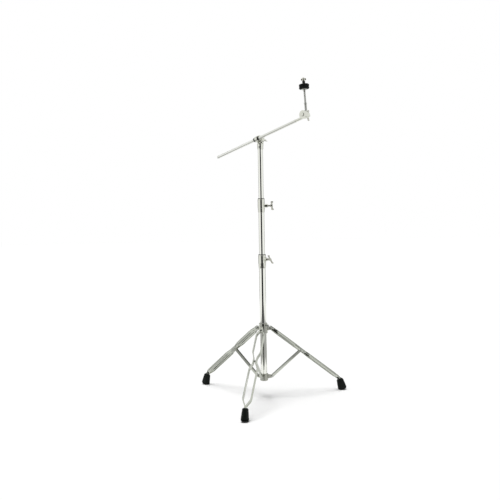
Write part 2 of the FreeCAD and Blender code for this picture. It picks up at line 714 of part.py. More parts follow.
tip_nut = wing_nut("tip_wing_nut", s["bolt_radius"], s["wing_span"] - 3, Size(7),
                   tip_back + free)
place(tip_nut, tip_point, boom_turns + ((X_AXIS, -90), (Z_AXIS, 104)))

heading = s["boom_turn"]
back_x, back_y = sine(heading) * seat_plane, cosine(heading) * seat_plane
seat_point = (tip_point[0] + back_x, tip_point[1] + back_y, tip_point[2])


def seat_piece(label, profile):
    body = new_body(label)
    turn(body, profile)
    place(body, seat_point, seat_turns)
    return body


rod_radius, seat_top = s["seat_radius"], s["seat_length"]
step, felt_low = s["seat_step"], s["felt_bottom"]
felt_mid, felt_high = felt_low + s["felt_thick"], felt_low + 2 * s["felt_thick"]
seat_piece("cymbal_rod", ((0, 8), (rod_radius, 8), (rod_radius, 18), (rod_radius + 0.8, 18),
                          (rod_radius + 0.8, step), (rod_radius + 2, step),
                          (rod_radius + 2, step + 4), (rod_radius, step + 6),
                          (rod_radius, seat_top), (0, seat_top)))
flange = felt_low - 1.5
seat_piece("cup_washer", ((rod_radius + run, flange - 2), (10, flange - 2), (13, flange),
                          (rod_radius + run, flange)))
bore, sleeve_out = rod_radius + run, s["sleeve_radius"]
sleeve_top = felt_high + 12
seat_piece("seat_sleeve", ((bore, flange), (11, flange), (11, felt_low), (sleeve_out, felt_low),
                           (sleeve_out, sleeve_top), (bore, sleeve_top)))


def felt(label, bottom):
    top = bottom + s["felt_thick"]
    radius = s["felt_radius"]
    inner = sleeve_out + free
    seat_piece(label, ((inner, bottom + free), (radius - 1.5, bottom + free),
                       (radius, bottom + 2), (radius, top - 2), (radius - 1.5, top),
                       (inner, top)))


felt("lower_felt", felt_low)
felt("upper_felt", felt_mid)
seat_piece("top_washer", ((sleeve_out + free, felt_high + free), (11, felt_high + free),
                          (8, felt_high + 3), (sleeve_out + free, felt_high + 3)))
top_nut = new_body("top_wing_nut")
nut_bottom = sleeve_top + free
turn(top_nut, ((bore, nut_bottom), (5.5, nut_bottom), (7, nut_bottom + 4),
               (6, nut_bottom + 13), (3, nut_bottom + 15.5), (0, nut_bottom + 15.5),
               (0, seat_top + 1), (bore, seat_top + 1)))
ears = ((4, nut_bottom + 3), (8, nut_bottom + 3), (11, nut_bottom + 7), (10.5, nut_bottom + 11),
        (7.5, nut_bottom + 12), (4, nut_bottom + 10))
for sign in (1, -1):
    extrude(top_nut, outline(top_nut, "XZ_Plane", [(sign * x, z) for x, z in ears]),
            s["wing_thick"])
pocket(top_nut, circle(top_nut, "XY_Plane", (0, 0), bore), 2 * (seat_top + 1))
place(top_nut, seat_point, seat_turns + ((Z_AXIS, 30),))


# ---------------------------------------------------------------- check and write

doc.recompute()
faults = []
for item in doc.Objects:
    if "Invalid" in item.State or "Error" in item.State:
        faults.append(f"{item.Label} in {item.Parents or item.Name}: {item.State}")
for body in sub_parts:
    if body.Shape.isNull() or not body.Shape.isValid() or not body.Shape.Solids:
        faults.append(f"{body.Label} has no valid solid")
if faults:
    raise RuntimeError("; ".join(faults))
os.makedirs("parts", exist_ok=True)
for body in sub_parts:
    body.Shape.exportStep(f"parts/{body.Label}.step")
    box = body.Shape.BoundBox
    print(f"{body.Label}: {len(body.Shape.Solids)} solids, {body.Shape.Volume:.0f} mm3, "
          f"z {box.ZMin:.1f} to {box.ZMax:.1f}")
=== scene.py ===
"""Cymbal boom stand: detailed pieces, finishes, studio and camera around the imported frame."""
import json
import math

import bmesh
import bpy
from mathutils import Matrix, Vector


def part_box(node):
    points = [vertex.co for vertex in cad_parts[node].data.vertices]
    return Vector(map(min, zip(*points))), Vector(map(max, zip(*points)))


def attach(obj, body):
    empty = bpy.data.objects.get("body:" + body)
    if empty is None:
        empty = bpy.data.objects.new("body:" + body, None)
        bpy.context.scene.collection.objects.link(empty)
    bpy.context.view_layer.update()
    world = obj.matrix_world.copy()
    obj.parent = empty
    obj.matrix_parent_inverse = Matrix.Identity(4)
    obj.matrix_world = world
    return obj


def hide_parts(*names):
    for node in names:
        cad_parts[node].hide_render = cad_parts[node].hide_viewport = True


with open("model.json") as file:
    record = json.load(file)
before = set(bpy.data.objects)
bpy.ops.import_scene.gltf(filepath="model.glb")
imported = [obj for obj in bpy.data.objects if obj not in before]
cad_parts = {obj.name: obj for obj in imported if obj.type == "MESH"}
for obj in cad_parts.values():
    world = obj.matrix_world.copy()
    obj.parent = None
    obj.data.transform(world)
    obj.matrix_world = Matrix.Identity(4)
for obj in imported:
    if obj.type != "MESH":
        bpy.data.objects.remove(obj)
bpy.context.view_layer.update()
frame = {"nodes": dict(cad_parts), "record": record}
JOINTS = {joint["name"]: joint for joint in frame["record"]["behaviour"]["joints"]}

MM = 0.001
LEGS = (1, 2, 3)
BASE_RADIUS, MIDDLE_RADIUS, TOP_RADIUS = 14.3 * MM, 12.7 * MM, 11.1 * MM
TUBE_WALL = 1.2 * MM
STRUT = 172.5 * MM                      # length of a brace, and its place down the leg
LEG_LENGTH = 407.6 * MM                 # collar pivot to the boot's mouth
STRIP_WIDTH, STRIP_THICK, STRIP_FLARE = 16 * MM, 2 * MM, 14.5 * MM
STRIP_PINCH, STRIP_WAIST = 2.8 * MM, 4.3 * MM   # half gaps at the collar and the brace
PIN_RADIUS, PIN_HEAD, RIVET_STEP = 2.8 * MM, 4.8 * MM, 15 * MM
BRACE_WIDTH, BRACE_DEPTH, BRACE_WALL = 12 * MM, 8 * MM, 1.2 * MM
BOOT_TILT = math.radians(16.5)          # from upright
BOOT_LENGTH, BOOT_RADIUS, BOOT_TOP, BOOT_SIDE = 50 * MM, 19.5 * MM, 14.5 * MM, 15.5 * MM
LEG_SPREAD = math.radians(52.3)         # from upright
BOLT_RADIUS = 4 * MM
BOOM_RADIUS = 6.35 * MM
BOOM_OFFSET = 20 * MM
RATCHET_RADIUS = 17 * MM
WING_SPAN = 47 * MM
FELT_RADIUS, FELT_THICK = 21 * MM, 9.5 * MM
ROUND = 96                              # sides of a turned piece
FLOAT, WHOLE = "NodeSocketFloat", "NodeSocketInt"
VECTOR, MATERIAL = "NodeSocketVector", "NodeSocketMaterial"


# ---------------- shared finishes

SCRATCH_DEPTH, GRAIN_DEPTH, FIBRE_DEPTH = 0.02 * MM, 0.4 * MM, 0.6 * MM
DUST_MOST = 0.35


def node_group(name, inputs, outputs):
    """Shader group with its sockets; returns the group and its input and output nodes."""
    group = bpy.data.node_groups.new(name, "ShaderNodeTree")
    for label, kind, value in inputs:
        socket = group.interface.new_socket(label, in_out="INPUT", socket_type=kind)
        socket.default_value = value
    for label, kind in outputs:
        group.interface.new_socket(label, in_out="OUTPUT", socket_type=kind)
    return group, group.nodes.new("NodeGroupInput"), group.nodes.new("NodeGroupOutput")


def add_node(tree, kind, **settings):
    node = tree.nodes.new(kind)
    for key, value in settings.items():
        if key in node.inputs:
            node.inputs[key].default_value = value
        else:
            setattr(node, key, value)
    return node


def wire(tree, source, given, target, taken):
    """Link from a node's output to another's input."""
    tree.links.new(source.outputs[given], target.inputs[taken])


def texture(tree, place, kind, **settings):
    """Texture node laid out by the object's own coordinates."""
    node = add_node(tree, kind, **settings)
    wire(tree, place, "Object", node, "Vector")
    return node


def spread(tree, source, given, low, high):
    """Map range node that stretches low to high over 0 to 1."""
    node = add_node(tree, "ShaderNodeMapRange")
    node.inputs["From Min"].default_value = low
    node.inputs["From Max"].default_value = high
    wire(tree, source, given, node, "Value")
    return node


def tint(tree, shader, source, given, colour, other):
    """Base colour that goes from one colour to the other with the mask."""
    mix = add_node(tree, "ShaderNodeMix", data_type="RGBA")
    mix.inputs["A"].default_value = (*colour, 1)
    mix.inputs["B"].default_value = (*other, 1)
    wire(tree, source, given, mix, "Factor")
    wire(tree, mix, "Result", shader, "Base Color")


def relief(tree, shader, source, given, strength, depth):
    """Bump of the given depth in metres."""
    bump = add_node(tree, "ShaderNodeBump", Strength=strength, Distance=depth)
    wire(tree, source, given, bump, "Height")
    wire(tree, bump, "Normal", shader, "Normal")


def polish_group():
    """Uneven polish: a wandering roughness and a faint ripple with fine scratches."""
    group, given, out = node_group(
        "polish",
        [("Scale", FLOAT, 60.0), ("Low", FLOAT, 0.05),
         ("High", FLOAT, 0.14)],
        [("Roughness", FLOAT), ("Height", FLOAT)])
    place = add_node(group, "ShaderNodeTexCoord")
    cloud = texture(group, place, "ShaderNodeTexNoise", Detail=5.0, Roughness=0.6)
    wire(group, given, "Scale", cloud, "Scale")
    between = spread(group, cloud, "Fac", 0.35, 0.7)
    wire(group, given, "Low", between, "To Min")
    wire(group, given, "High", between, "To Max")
    wire(group, between, "Result", out, "Roughness")
    scratch = add_node(group, "ShaderNodeTexNoise", Scale=900.0, Detail=2.0)
    stretch = add_node(group, "ShaderNodeMapping")
    stretch.inputs["Scale"].default_value = (1.0, 1.0, 0.06)
    wire(group, place, "Object", stretch, "Vector")
    wire(group, stretch, "Vector", scratch, "Vector")
    wire(group, scratch, "Fac", out, "Height")
    return group


def edge_wear_group():
    """Mask that is 1 on exposed edges, broken up by noise."""
    group, given, out = node_group(
        "edge_wear",
        [("Amount", FLOAT, 0.5), ("Scale", FLOAT, 180.0)],
        [("Mask", FLOAT)])
    shape = add_node(group, "ShaderNodeNewGeometry")
    place = add_node(group, "ShaderNodeTexCoord")
    breakup = texture(group, place, "ShaderNodeTexNoise", Detail=4.0)
    wire(group, given, "Scale", breakup, "Scale")
    edge = spread(group, shape, "Pointiness", 0.52, 0.62)
    broken = add_node(group, "ShaderNodeMath", operation="MULTIPLY")
    wire(group, edge, "Result", broken, 0)
    wire(group, breakup, "Fac", broken, 1)
    scaled = add_node(group, "ShaderNodeMath", operation="MULTIPLY", use_clamp=True)
    wire(group, broken, 0, scaled, 0)
    wire(group, given, "Amount", scaled, 1)
    wire(group, scaled, 0, out, "Mask")
    return group


POLISH = polish_group()
EDGE_WEAR = edge_wear_group()


def new_material(name):
    material = bpy.data.materials.new(name)
    material.use_nodes = True
    return material, material.node_tree, material.node_tree.nodes["Principled BSDF"]


def place_group(tree, group, **values):
    node = tree.nodes.new("ShaderNodeGroup")
    node.node_tree = group
    for key, value in values.items():
        node.inputs[key].default_value = value
    return node


def metal(name, colour, worn, low, high, scale=60.0, bump=0.02, wear=0.6):
    """Plated metal: a base tint, darkened as painted shade for some finishes, uneven polish, fine
    scratches and dulled edges.
    """
    material, tree, shader = new_material(name)
    shader.inputs["Metallic"].default_value = 1.0
    polish = place_group(tree, POLISH, Scale=scale, Low=low, High=high)
    wire(tree, polish, "Roughness", shader, "Roughness")
    edges = place_group(tree, EDGE_WEAR, Amount=wear, Scale=220.0)
    tint(tree, shader, edges, "Mask", colour, worn)
    relief(tree, shader, polish, "Height", bump, SCRATCH_DEPTH)
    return material


def moulded(name, colour, dusty, roughness, grain, bump, gloss):
    """Moulded rubber or plastic: fine grain, a little dust and paler edges."""
    material, tree, shader = new_material(name)
    shader.inputs["Roughness"].default_value = roughness
    shader.inputs["Specular IOR Level"].default_value = gloss
    place = add_node(tree, "ShaderNodeTexCoord")
    grains = texture(tree, place, "ShaderNodeTexNoise", Scale=grain, Detail=6.0,
                     Roughness=0.7)
    cloud = texture(tree, place, "ShaderNodeTexNoise", Scale=45.0, Detail=4.0)
    edges = place_group(tree, EDGE_WEAR, Amount=0.7, Scale=150.0)
    dust = spread(tree, cloud, "Fac", 0.45, 0.8)
    dust.inputs["To Max"].default_value = DUST_MOST
    both = add_node(tree, "ShaderNodeMath", operation="ADD", use_clamp=True)
    wire(tree, dust, "Result", both, 0)
    wire(tree, edges, "Mask", both, 1)
    tint(tree, shader, both, 0, colour, dusty)
    relief(tree, shader, grains, "Fac", bump, GRAIN_DEPTH)
    return material


def felt_cloth():
    """Pressed wool: matted fibres in two sizes, with a soft sheen."""
    material, tree, shader = new_material("pressed_wool_felt")
    shader.inputs["Roughness"].default_value = 0.95
    shader.inputs["Specular IOR Level"].default_value = 0.1
    shader.inputs["Sheen Weight"].default_value = 0.04
    shader.inputs["Sheen Roughness"].default_value = 0.6
    place = add_node(tree, "ShaderNodeTexCoord")
    fibres = texture(tree, place, "ShaderNodeTexNoise", Scale=1400.0, Detail=8.0,
                     Distortion=2.5)
    clumps = texture(tree, place, "ShaderNodeTexVoronoi", Scale=420.0)
    tint(tree, shader, fibres, "Fac", (0.004, 0.005, 0.005), (0.014, 0.016, 0.015))
    mixed = add_node(tree, "ShaderNodeMath", operation="ADD")
    wire(tree, fibres, "Fac", mixed, 0)
    wire(tree, clumps, "Distance", mixed, 1)
    relief(tree, shader, mixed, 0, 0.8, FIBRE_DEPTH)
    return material


TUBE_CHROME = metal("tube_chrome", (0.84, 0.85, 0.79), (0.62, 0.61, 0.55), 0.03, 0.07)
STRIP_CHROME = metal("strip_chrome", (0.54, 0.56, 0.5), (0.38, 0.38, 0.34), 0.1, 0.2, 90.0, 0.05)
# Casting chrome is darker than the tube chrome: painted shade, standing in for the dark of the
# castings' hollows and gaps.
CAST_CHROME = metal("cast_chrome", (0.68, 0.69, 0.62), (0.45, 0.44, 0.38), 0.06, 0.15, 140.0,
                    0.06)
ROD_CHROME = metal("rod_chrome", (0.74, 0.75, 0.7), (0.45, 0.45, 0.4), 0.06, 0.12, 80.0)
KNURL_CHROME = metal("knurl_chrome", (0.8, 0.81, 0.76), (0.4, 0.4, 0.36), 0.14, 0.26, 200.0,
                     0.04, 0.9)
WING_PLATE = metal("wing_plate", (0.52, 0.52, 0.46), (0.36, 0.35, 0.31), 0.14, 0.3, 160.0, 0.12)
ZINC = metal("zinc_plate", (0.48, 0.49, 0.46), (0.3, 0.3, 0.27), 0.2, 0.38, 200.0, 0.1)
# The sleeves' near-black colour is painted shade, standing in for the dark gaps round the tilter.
SLEEVE_STEEL = metal("sleeve_steel", (0.09, 0.09, 0.08), (0.2, 0.2, 0.18), 0.2, 0.34, 200.0, 0.1)
# Darker copy of the casting chrome for the lower hub alone: painted shade.
SHADED_HUB_CHROME = metal("hub_chrome_shaded", (0.36, 0.37, 0.32), (0.22, 0.22, 0.19), 0.12, 0.25, 120.0, 0.08)
RUBBER = moulded("boot_rubber", (0.003, 0.005, 0.004), (0.012, 0.014, 0.012), 0.6, 900.0,
                 0.35, 0.15)
NYLON = moulded("black_nylon", (0.006, 0.006, 0.006), (0.03, 0.03, 0.028), 0.42, 1500.0, 0.1, 0.25)
FELT = felt_cloth()

FINISHES = {"chromed_tube": TUBE_CHROME, "chromed_strip": STRIP_CHROME,
            "chromed_casting": CAST_CHROME, "boom_chrome": ROD_CHROME,
            "plated_wing": WING_PLATE, "plated_steel": ZINC, "steel_sleeve": SLEEVE_STEEL,
            "black_nylon": NYLON, "foot_rubber": RUBBER, "pad_felt": FELT}
SLOT_OF = {part["node"]: part["material_slot"] for part in frame["record"]["subparts"]}
BODY_OF = {node: body for body, nodes in frame["record"]["behaviour"]["bodies"].items()
           for node in nodes}


def finish_nodes():
    """Gives each CAD node the finish that its slot in the record names."""
    for node, slot in SLOT_OF.items():
        materials = frame["nodes"][node].data.materials
        materials.clear()
        materials.append(FINISHES[slot])


finish_nodes()


# ---------------- mesh making


def rounded(points, radius, closed=False, steps=4):
    """The outline with each corner replaced by a smooth curve no longer than radius."""
    points = [Vector(p) for p in points]
    count = len(points)
    result = []
    for index, corner in enumerate(points):
        if not closed and index in (0, count - 1):
            result.append(corner)
            continue
        before, after = points[index - 1], points[(index + 1) % count]
        reach_in = min(radius, (corner - before).length * 0.45)
        reach_out = min(radius, (after - corner).length * 0.45)
        start = corner + (before - corner).normalized() * reach_in
        end = corner + (after - corner).normalized() * reach_out
        for step in range(steps + 1):
            t = step / steps
            result.append(start * (1 - t) ** 2 + corner * 2 * t * (1 - t) + end * t ** 2)
    return result


def ring_faces(rings, sides, wrapped=False):
    """Four-sided faces between rings of points; wrapped ones close on the first ring."""
    faces = []
    for row in range(rings if wrapped else rings - 1):
        below, above = row * sides, (row + 1) % rings * sides
        for k in range(sides):
            following = (k + 1) % sides
            faces.append((below + k, below + following, above + following, above + k))
    return faces


def end_faces(rings, sides):
    return [tuple(reversed(range(sides))), tuple(range((rings - 1) * sides, rings * sides))]


def ring_points(profile, sides):
    """A ring of points about Z for each (radius, height)."""
    turns = [math.tau * k / sides for k in range(sides)]
    return [(radius * math.cos(a), radius * math.sin(a), height)
            for radius, height in profile for a in turns]


def lathe(profile, round_by=0.6 * MM, segments=ROUND):
    """Solid of revolution about Z from (radius, height) points that start and end alike."""
    closed = profile[0][0] > 0
    line = rounded(profile, round_by, closed)
    return ring_points(line, segments), ring_faces(len(line), segments, closed)


def sweep(stations, section):
    """Closed skin between stations; each station is (origin, side axis, up axis)."""
    verts = [tuple(origin + side * a + up * b) for origin, side, up in stations
             for a, b in section]
    rings, sides = len(stations), len(section)
    return verts, ring_faces(rings, sides) + end_faces(rings, sides)


def moved(shape, matrix):
    """The shape with its points taken through the matrix."""
    return [tuple(matrix @ Vector(v)) for v in shape[0]], shape[1]


def link(name, data):
    """New object in the scene."""
    thing = bpy.data.objects.new(name, data)
    bpy.context.scene.collection.objects.link(thing)
    return thing


def fill(shape, verts, faces):
    """Add the points and faces to the bmesh."""
    made = [shape.verts.new(v) for v in verts]
    for face in faces:
        shape.faces.new([made[i] for i in face])


def shaded_object(name, shape, material, limit):
    """Object from the bmesh, smooth except at edges sharper than the limit."""
    for edge in shape.edges:
        edge.smooth = len(edge.link_faces) == 2 and edge.calc_face_angle(0) < limit
    for face in shape.faces:
        face.smooth = True
    mesh = bpy.data.meshes.new(name)
    shape.to_mesh(mesh)
    shape.free()
    mesh.materials.append(material)
    return link(name, mesh)


def hang(piece, node, replaces=True):
    """Ride on the CAD node's body, in place of the node unless told otherwise."""
    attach(piece, BODY_OF[node])
    if replaces:
        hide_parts(node)


def make_piece(name, shapes, node, matrix=None, sharp=38, merge=1e-7, replaces=True):
    """Join the shapes into one mesh with the node's finish and hang it on the node's body."""
    shape = bmesh.new()
    for verts, faces in shapes:
        fill(shape, verts, faces)
    if matrix is not None:
        bmesh.ops.transform(shape, matrix=matrix, verts=shape.verts)
    bmesh.ops.remove_doubles(shape, verts=shape.verts, dist=merge)
    bmesh.ops.recalc_face_normals(shape, faces=shape.faces)
    piece = shaded_object(name, shape, FINISHES[SLOT_OF[node]], math.radians(sharp))
    hang(piece, node, replaces)
    return piece


# ---------------- geometry node trees


def node_tree(name, inputs):
    tree = bpy.data.node_groups.new(name, "GeometryNodeTree")
    for label, kind, value in inputs:
        socket = tree.interface.new_socket(label, in_out="INPUT", socket_type=kind)
        if value is not None:
            socket.default_value = value
    tree.interface.new_socket("Geometry", in_out="OUTPUT", socket_type="NodeSocketGeometry")
    return tree, tree.nodes.new("NodeGroupInput"), tree.nodes.new("NodeGroupOutput")


def end_tree(tree, given, out, geometry):
    realize = tree.nodes.new("GeometryNodeRealizeInstances")
    paint = tree.nodes.new("GeometryNodeSetMaterial")
    tree.links.new(geometry, realize.inputs["Geometry"])
    wire(tree, realize, "Geometry", paint, "Geometry")
    wire(tree, given, "Material", paint, "Material")
    wire(tree, paint, "Geometry", out, "Geometry")


def thread_tree():
    """Screw thread: a helix swept with a small three-cornered ridge."""
    tree, given, out = node_tree("screw_thread", [
        ("Radius", FLOAT, 0.004), ("Length", FLOAT, 0.02),
        ("Turns", FLOAT, 16.0), ("Ridge", FLOAT, 0.0007),
        ("Material", MATERIAL, None)])
    helix = add_node(tree, "GeometryNodeCurveSpiral", Resolution=28)
    wire(tree, given, "Turns", helix, "Rotations")
    wire(tree, given, "Radius", helix, "Start Radius")
    wire(tree, given, "Radius", helix, "End Radius")
    wire(tree, given, "Length", helix, "Height")
    ridge = add_node(tree, "GeometryNodeCurvePrimitiveCircle", Resolution=3)
    wire(tree, given, "Ridge", ridge, "Radius")
    skin = tree.nodes.new("GeometryNodeCurveToMesh")
    skin.inputs["Fill Caps"].default_value = True
    wire(tree, helix, "Curve", skin, "Curve")
    wire(tree, ridge, "Curve", skin, "Profile Curve")
    end_tree(tree, given, out, skin.outputs["Mesh"])
    return tree


def teeth_tree():
    """Ring of radial wedge teeth, as on a ratchet disc's face."""
    tree, given, out = node_tree("ratchet_teeth", [
        ("Radius", FLOAT, 0.0155), ("Count", WHOLE, 36),
        ("Tooth", VECTOR, (0.004, 0.0011, 0.0009)),
        ("Material", MATERIAL, None)])
    ring = add_node(tree, "GeometryNodeMeshCircle", fill_type="NONE")
    wire(tree, given, "Count", ring, "Vertices")
    wire(tree, given, "Radius", ring, "Radius")
    wedge = add_node(tree, "GeometryNodeMeshCone", Vertices=4)
    wedge.inputs["Radius Top"].default_value = 0.25
    wedge.inputs["Radius Bottom"].default_value = 0.7
    wedge.inputs["Depth"].default_value = 1.0
    turned = tree.nodes.new("GeometryNodeTransform")
    turned.inputs["Rotation"].default_value = (0, 0, math.pi / 4)
    wire(tree, wedge, "Mesh", turned, "Geometry")
    aim = add_node(tree, "FunctionNodeAlignRotationToVector", axis="X")
    place = tree.nodes.new("GeometryNodeInputPosition")
    wire(tree, place, "Position", aim, "Vector")
    around = tree.nodes.new("GeometryNodeInstanceOnPoints")
    wire(tree, ring, "Mesh", around, "Points")
    wire(tree, turned, "Geometry", around, "Instance")
    wire(tree, aim, "Rotation", around, "Rotation")
    wire(tree, given, "Tooth", around, "Scale")
    end_tree(tree, given, out, around.outputs["Instances"])
    return tree


THREAD, TEETH = thread_tree(), teeth_tree()


def grown(tree, **values):
    """Shape that a geometry node tree gives with these inputs, as points and faces."""
    carrier = link("carrier", bpy.data.meshes.new("carrier"))
    modifier = carrier.modifiers.new("grow", "NODES")
    modifier.node_group = tree
    for item in tree.interface.items_tree:
        if item.in_out == "INPUT" and item.name in values:
            modifier[item.identifier] = values[item.name]
    seen = carrier.evaluated_get(bpy.context.evaluated_depsgraph_get())
    mesh = bpy.data.meshes.new_from_object(seen)
    shape = [tuple(v.co) for v in mesh.vertices], [list(p.vertices) for p in mesh.polygons]
    bpy.data.objects.remove(carrier)
    bpy.data.meshes.remove(mesh)
    return shape


def thread(radius, start, length, pitch=1.25 * MM):
    ridge = 0.55 * MM
    shape = grown(THREAD, Radius=radius - ridge / 2, Length=length, Turns=length / pitch,
                  Ridge=ridge, Material=ZINC)
    return moved(shape, Matrix.Translation((0, 0, start)))


# ---------------- studio and camera


CAMERA_PLACE = (0, -2.892, 0.759)
CAMERA_TURN = [math.radians(turn) for turn in (-1.03, 2.28, -0.99)]
LENS, SENSOR = 48.05, 36.0


def camera_frame():
    """In front of the stand, a little above half its height, looking slightly down."""
    yaw, down, roll = CAMERA_TURN
    right = Vector((math.cos(yaw), -math.sin(yaw), 0))
    ahead = Vector((math.sin(yaw) * math.cos(down), math.cos(yaw) * math.cos(down),
                    -math.sin(down)))
    up = right.cross(ahead)
    side = right * math.cos(roll) + up * math.sin(roll)
    top = up * math.cos(roll) - right * math.sin(roll)
    matrix = Matrix((side, top, -ahead)).transposed().to_4x4()
    matrix.translation = Vector(CAMERA_PLACE)
    return matrix


def set_camera():
    lens = bpy.data.cameras.new("stand_camera")
    lens.lens, lens.sensor_width = LENS, SENSOR
    lens.clip_start, lens.clip_end = 0.05, 50.0
    camera = link("stand_camera", lens)
    camera.matrix_world = camera_frame()
    bpy.context.scene.camera = camera


def set_world(seen, cast):
    """Plain white surroundings, dimmer as a light than as a background."""
    world = bpy.data.worlds.new("white_studio")
    world.use_nodes = True
    tree = world.node_tree
    sky = tree.nodes["Background"]
    path = tree.nodes.new("ShaderNodeLightPath")
    level = tree.nodes.new("ShaderNodeMix")
    level.inputs["A"].default_value = seen
    level.inputs["B"].default_value = cast
    wire(tree, path, "Is Diffuse Ray", level, "Factor")
    wire(tree, level, "Result", sky, "Strength")
    sky.inputs["Color"].default_value = (1, 1, 1, 1)
    bpy.context.scene.world = world


def set_sun(name, direction, strength, spread):
    lamp = bpy.data.lights.new(name, "SUN")
    lamp.energy, lamp.angle = strength, math.radians(spread)
    light = link(name, lamp)
    light.rotation_euler = Vector(direction).to_track_quat("-Z", "Y").to_euler()
    light.visible_glossy = False


def studio_cloth(name, low, high):
    """Matt stage surface with a breath of unevenness."""
    material, tree, shader = new_material(name)
    shader.inputs["Roughness"].default_value = 0.9
    shader.inputs["Specular IOR Level"].default_value = 0.0
    place = add_node(tree, "ShaderNodeTexCoord")
    cloud = texture(tree, place, "ShaderNodeTexNoise", Scale=3.0, Detail=2.0)
    tint(tree, shader, cloud, "Fac", (low,) * 3, (high,) * 3)
    return material


def flat_sheet(name, corners, material, mirrored_only=False):
    """Stage sheet; a mirrored one shows only in the chrome."""
    mesh = bpy.data.meshes.new(name)
    mesh.from_pydata(corners, [], [tuple(range(len(corners)))])
    mesh.materials.append(material)
    sheet = link(name, mesh)
    if mirrored_only:
        sheet.visible_camera = sheet.visible_diffuse = sheet.visible_shadow = False
        sheet.visible_transmission = False
    return sheet


def floor_corners(half_width, front, back, height):
    return [(-half_width, front, height), (half_width, front, height),
            (half_width, back, height), (-half_width, back, height)]


def wall_corners(left, right, away, low, high):
    return [(left, away, low), (right, away, low), (right, away, high), (left, away, high)]


bpy.context.scene.view_settings.view_transform = "Standard"
set_camera()
set_world(seen=1.0, cast=0.14)
set_sun("key_light", (0.12, 0.04, -1), strength=3.0, spread=42)
PAPER = studio_cloth("studio_paper", 0.93, 0.95)
ROOM = studio_cloth("studio_room", 0.37, 0.42)
DARK_CLOTH = studio_cloth("studio_dark", 0.05, 0.07)
BLACK_CLOTH = studio_cloth("studio_black", 0.004, 0.008)
AISLE_LEFT, AISLE_RIGHT, NEAR = -1.9, 1.3, -3.2
CARD_TOP, CEILING_RIGHT, CEILING_TOP = 1.8, 1.1, 5.0
SIDE_INNER, SIDE_OUTER, SIDE_AWAY, SIDE_TOP = 1.9, 4.4, 3.0, 4.0
AISLE_FRONT = -0.35

floor = flat_sheet("studio_floor", floor_corners(14, -6, 24, 0), PAPER)
floor.visible_glossy = False
flat_sheet("mirrored_paper", floor_corners(0.5, -0.4, 2, 0.003), PAPER, True)
flat_sheet("mirrored_room", floor_corners(2.2, -4.5, 0.8, 0.002), ROOM, True)
flat_sheet("mirrored_camera", wall_corners(AISLE_LEFT, AISLE_RIGHT, NEAR, 0.0, CARD_TOP),
           BLACK_CLOTH, True)
flat_sheet("mirrored_aisle", [(-0.1, AISLE_FRONT, 0.004), (AISLE_LEFT, NEAR, 0.004),
                              (AISLE_RIGHT, NEAR, 0.004), (0.06, AISLE_FRONT, 0.004)],
           BLACK_CLOTH, True)
for label, left, right in (("left", -SIDE_OUTER, -SIDE_INNER), ("right", SIDE_INNER, SIDE_OUTER)):
    flat_sheet("mirrored_" + label, wall_corners(left, right, SIDE_AWAY, 0.0, SIDE_TOP),
               DARK_CLOTH, True)
flat_sheet("mirrored_ceiling", wall_corners(AISLE_LEFT, CEILING_RIGHT, NEAR, CARD_TOP,
                                            CEILING_TOP), BLACK_CLOTH, True)


# ---------------- frames of the moving parts


def turned(*turns):
    matrix = Matrix.Identity(4)
    for axis, degrees in turns:
        matrix = matrix @ Matrix.Rotation(math.radians(degrees), 4, axis)
    return matrix


def joint_point(name):
    return Vector(JOINTS[name]["pos_m"])


LEG_TURN = {}
for number in LEGS:
    pivot_at = joint_point(f"leg_{number}_fold")
    LEG_TURN[number] = math.degrees(math.atan2(pivot_at.y, pivot_at.x))
DROOP = 90 - math.degrees(LEG_SPREAD)


def leg_frame(number):
    """X down the leg, Y across it, origin on the collar pivot."""
    at = Matrix.Translation(joint_point(f"leg_{number}_fold"))
    return at @ turned(("Z", LEG_TURN[number]), ("Y", DROOP))


def brace_frame(number):
    at = Matrix.Translation(joint_point(f"brace_{number}_fold"))
    return at @ turned(("Z", LEG_TURN[number]), ("Y", -DROOP))


def foot_frame(number):
    """Z up the boot's axis, origin at its mouth."""
    neck = leg_frame(number) @ Vector((LEG_LENGTH, 0, 0))
    tilt = -math.degrees(BOOT_TILT)
    return Matrix.Translation(neck) @ turned(("Z", LEG_TURN[number]), ("Y", tilt))


BOOM_AXIS = Vector(JOINTS["boom_slide"]["axis"])
SEAT_AXIS = Vector(JOINTS["top_nut_turn"]["axis"])
TILTER_POINT = joint_point("boom_tilt")
TIP_POINT = joint_point("seat_tilt")
SEAT_POINT = joint_point("top_nut_turn")


# ---------------- softened castings


CRISP_ANGLE, FLAT_ANGLE = math.radians(32), math.radians(0.6)
WELD_BEFORE, WELD_AFTER = 2e-6, 1e-6


def softened(node, radius):
    """A CAD node's own shape with its sharp edges rounded, as cast and polished."""
    shape = bmesh.new()
    shape.from_mesh(frame["nodes"][node].data)
    bmesh.ops.remove_doubles(shape, verts=shape.verts, dist=WELD_BEFORE)
    bmesh.ops.dissolve_limit(shape, angle_limit=FLAT_ANGLE, verts=shape.verts,
                             edges=shape.edges, use_dissolve_boundaries=False)
    crisp = [e for e in shape.edges
             if len(e.link_faces) == 2 and e.calc_face_angle(0) > CRISP_ANGLE]
    bmesh.ops.bevel(shape, geom=crisp, offset=radius, segments=2, profile=0.5,
                    affect="EDGES", clamp_overlap=True)
    bmesh.ops.remove_doubles(shape, verts=shape.verts, dist=WELD_AFTER)
    many_sided = [f for f in shape.faces if len(f.verts) > 4]
    bmesh.ops.triangulate(shape, faces=many_sided)
    # The lower hub takes the darker copy of the casting chrome: painted shade.
    finish = SHADED_HUB_CHROME if node == "lower_hub" else FINISHES[SLOT_OF[node]]
    piece = shaded_object(node + "_finished", shape, finish, CRISP_ANGLE)
    weigh = piece.modifiers.new("weigh_normals", "WEIGHTED_NORMAL")
    weigh.keep_sharp = True
    depsgraph = bpy.context.evaluated_depsgraph_get()
    weighed = bpy.data.meshes.new_from_object(piece.evaluated_get(depsgraph),
                                              preserve_all_data_layers=True,
                                              depsgraph=depsgraph)
    piece.modifiers.clear()
    piece.data = weighed
    hang(piece, node)


# ---------------- wings


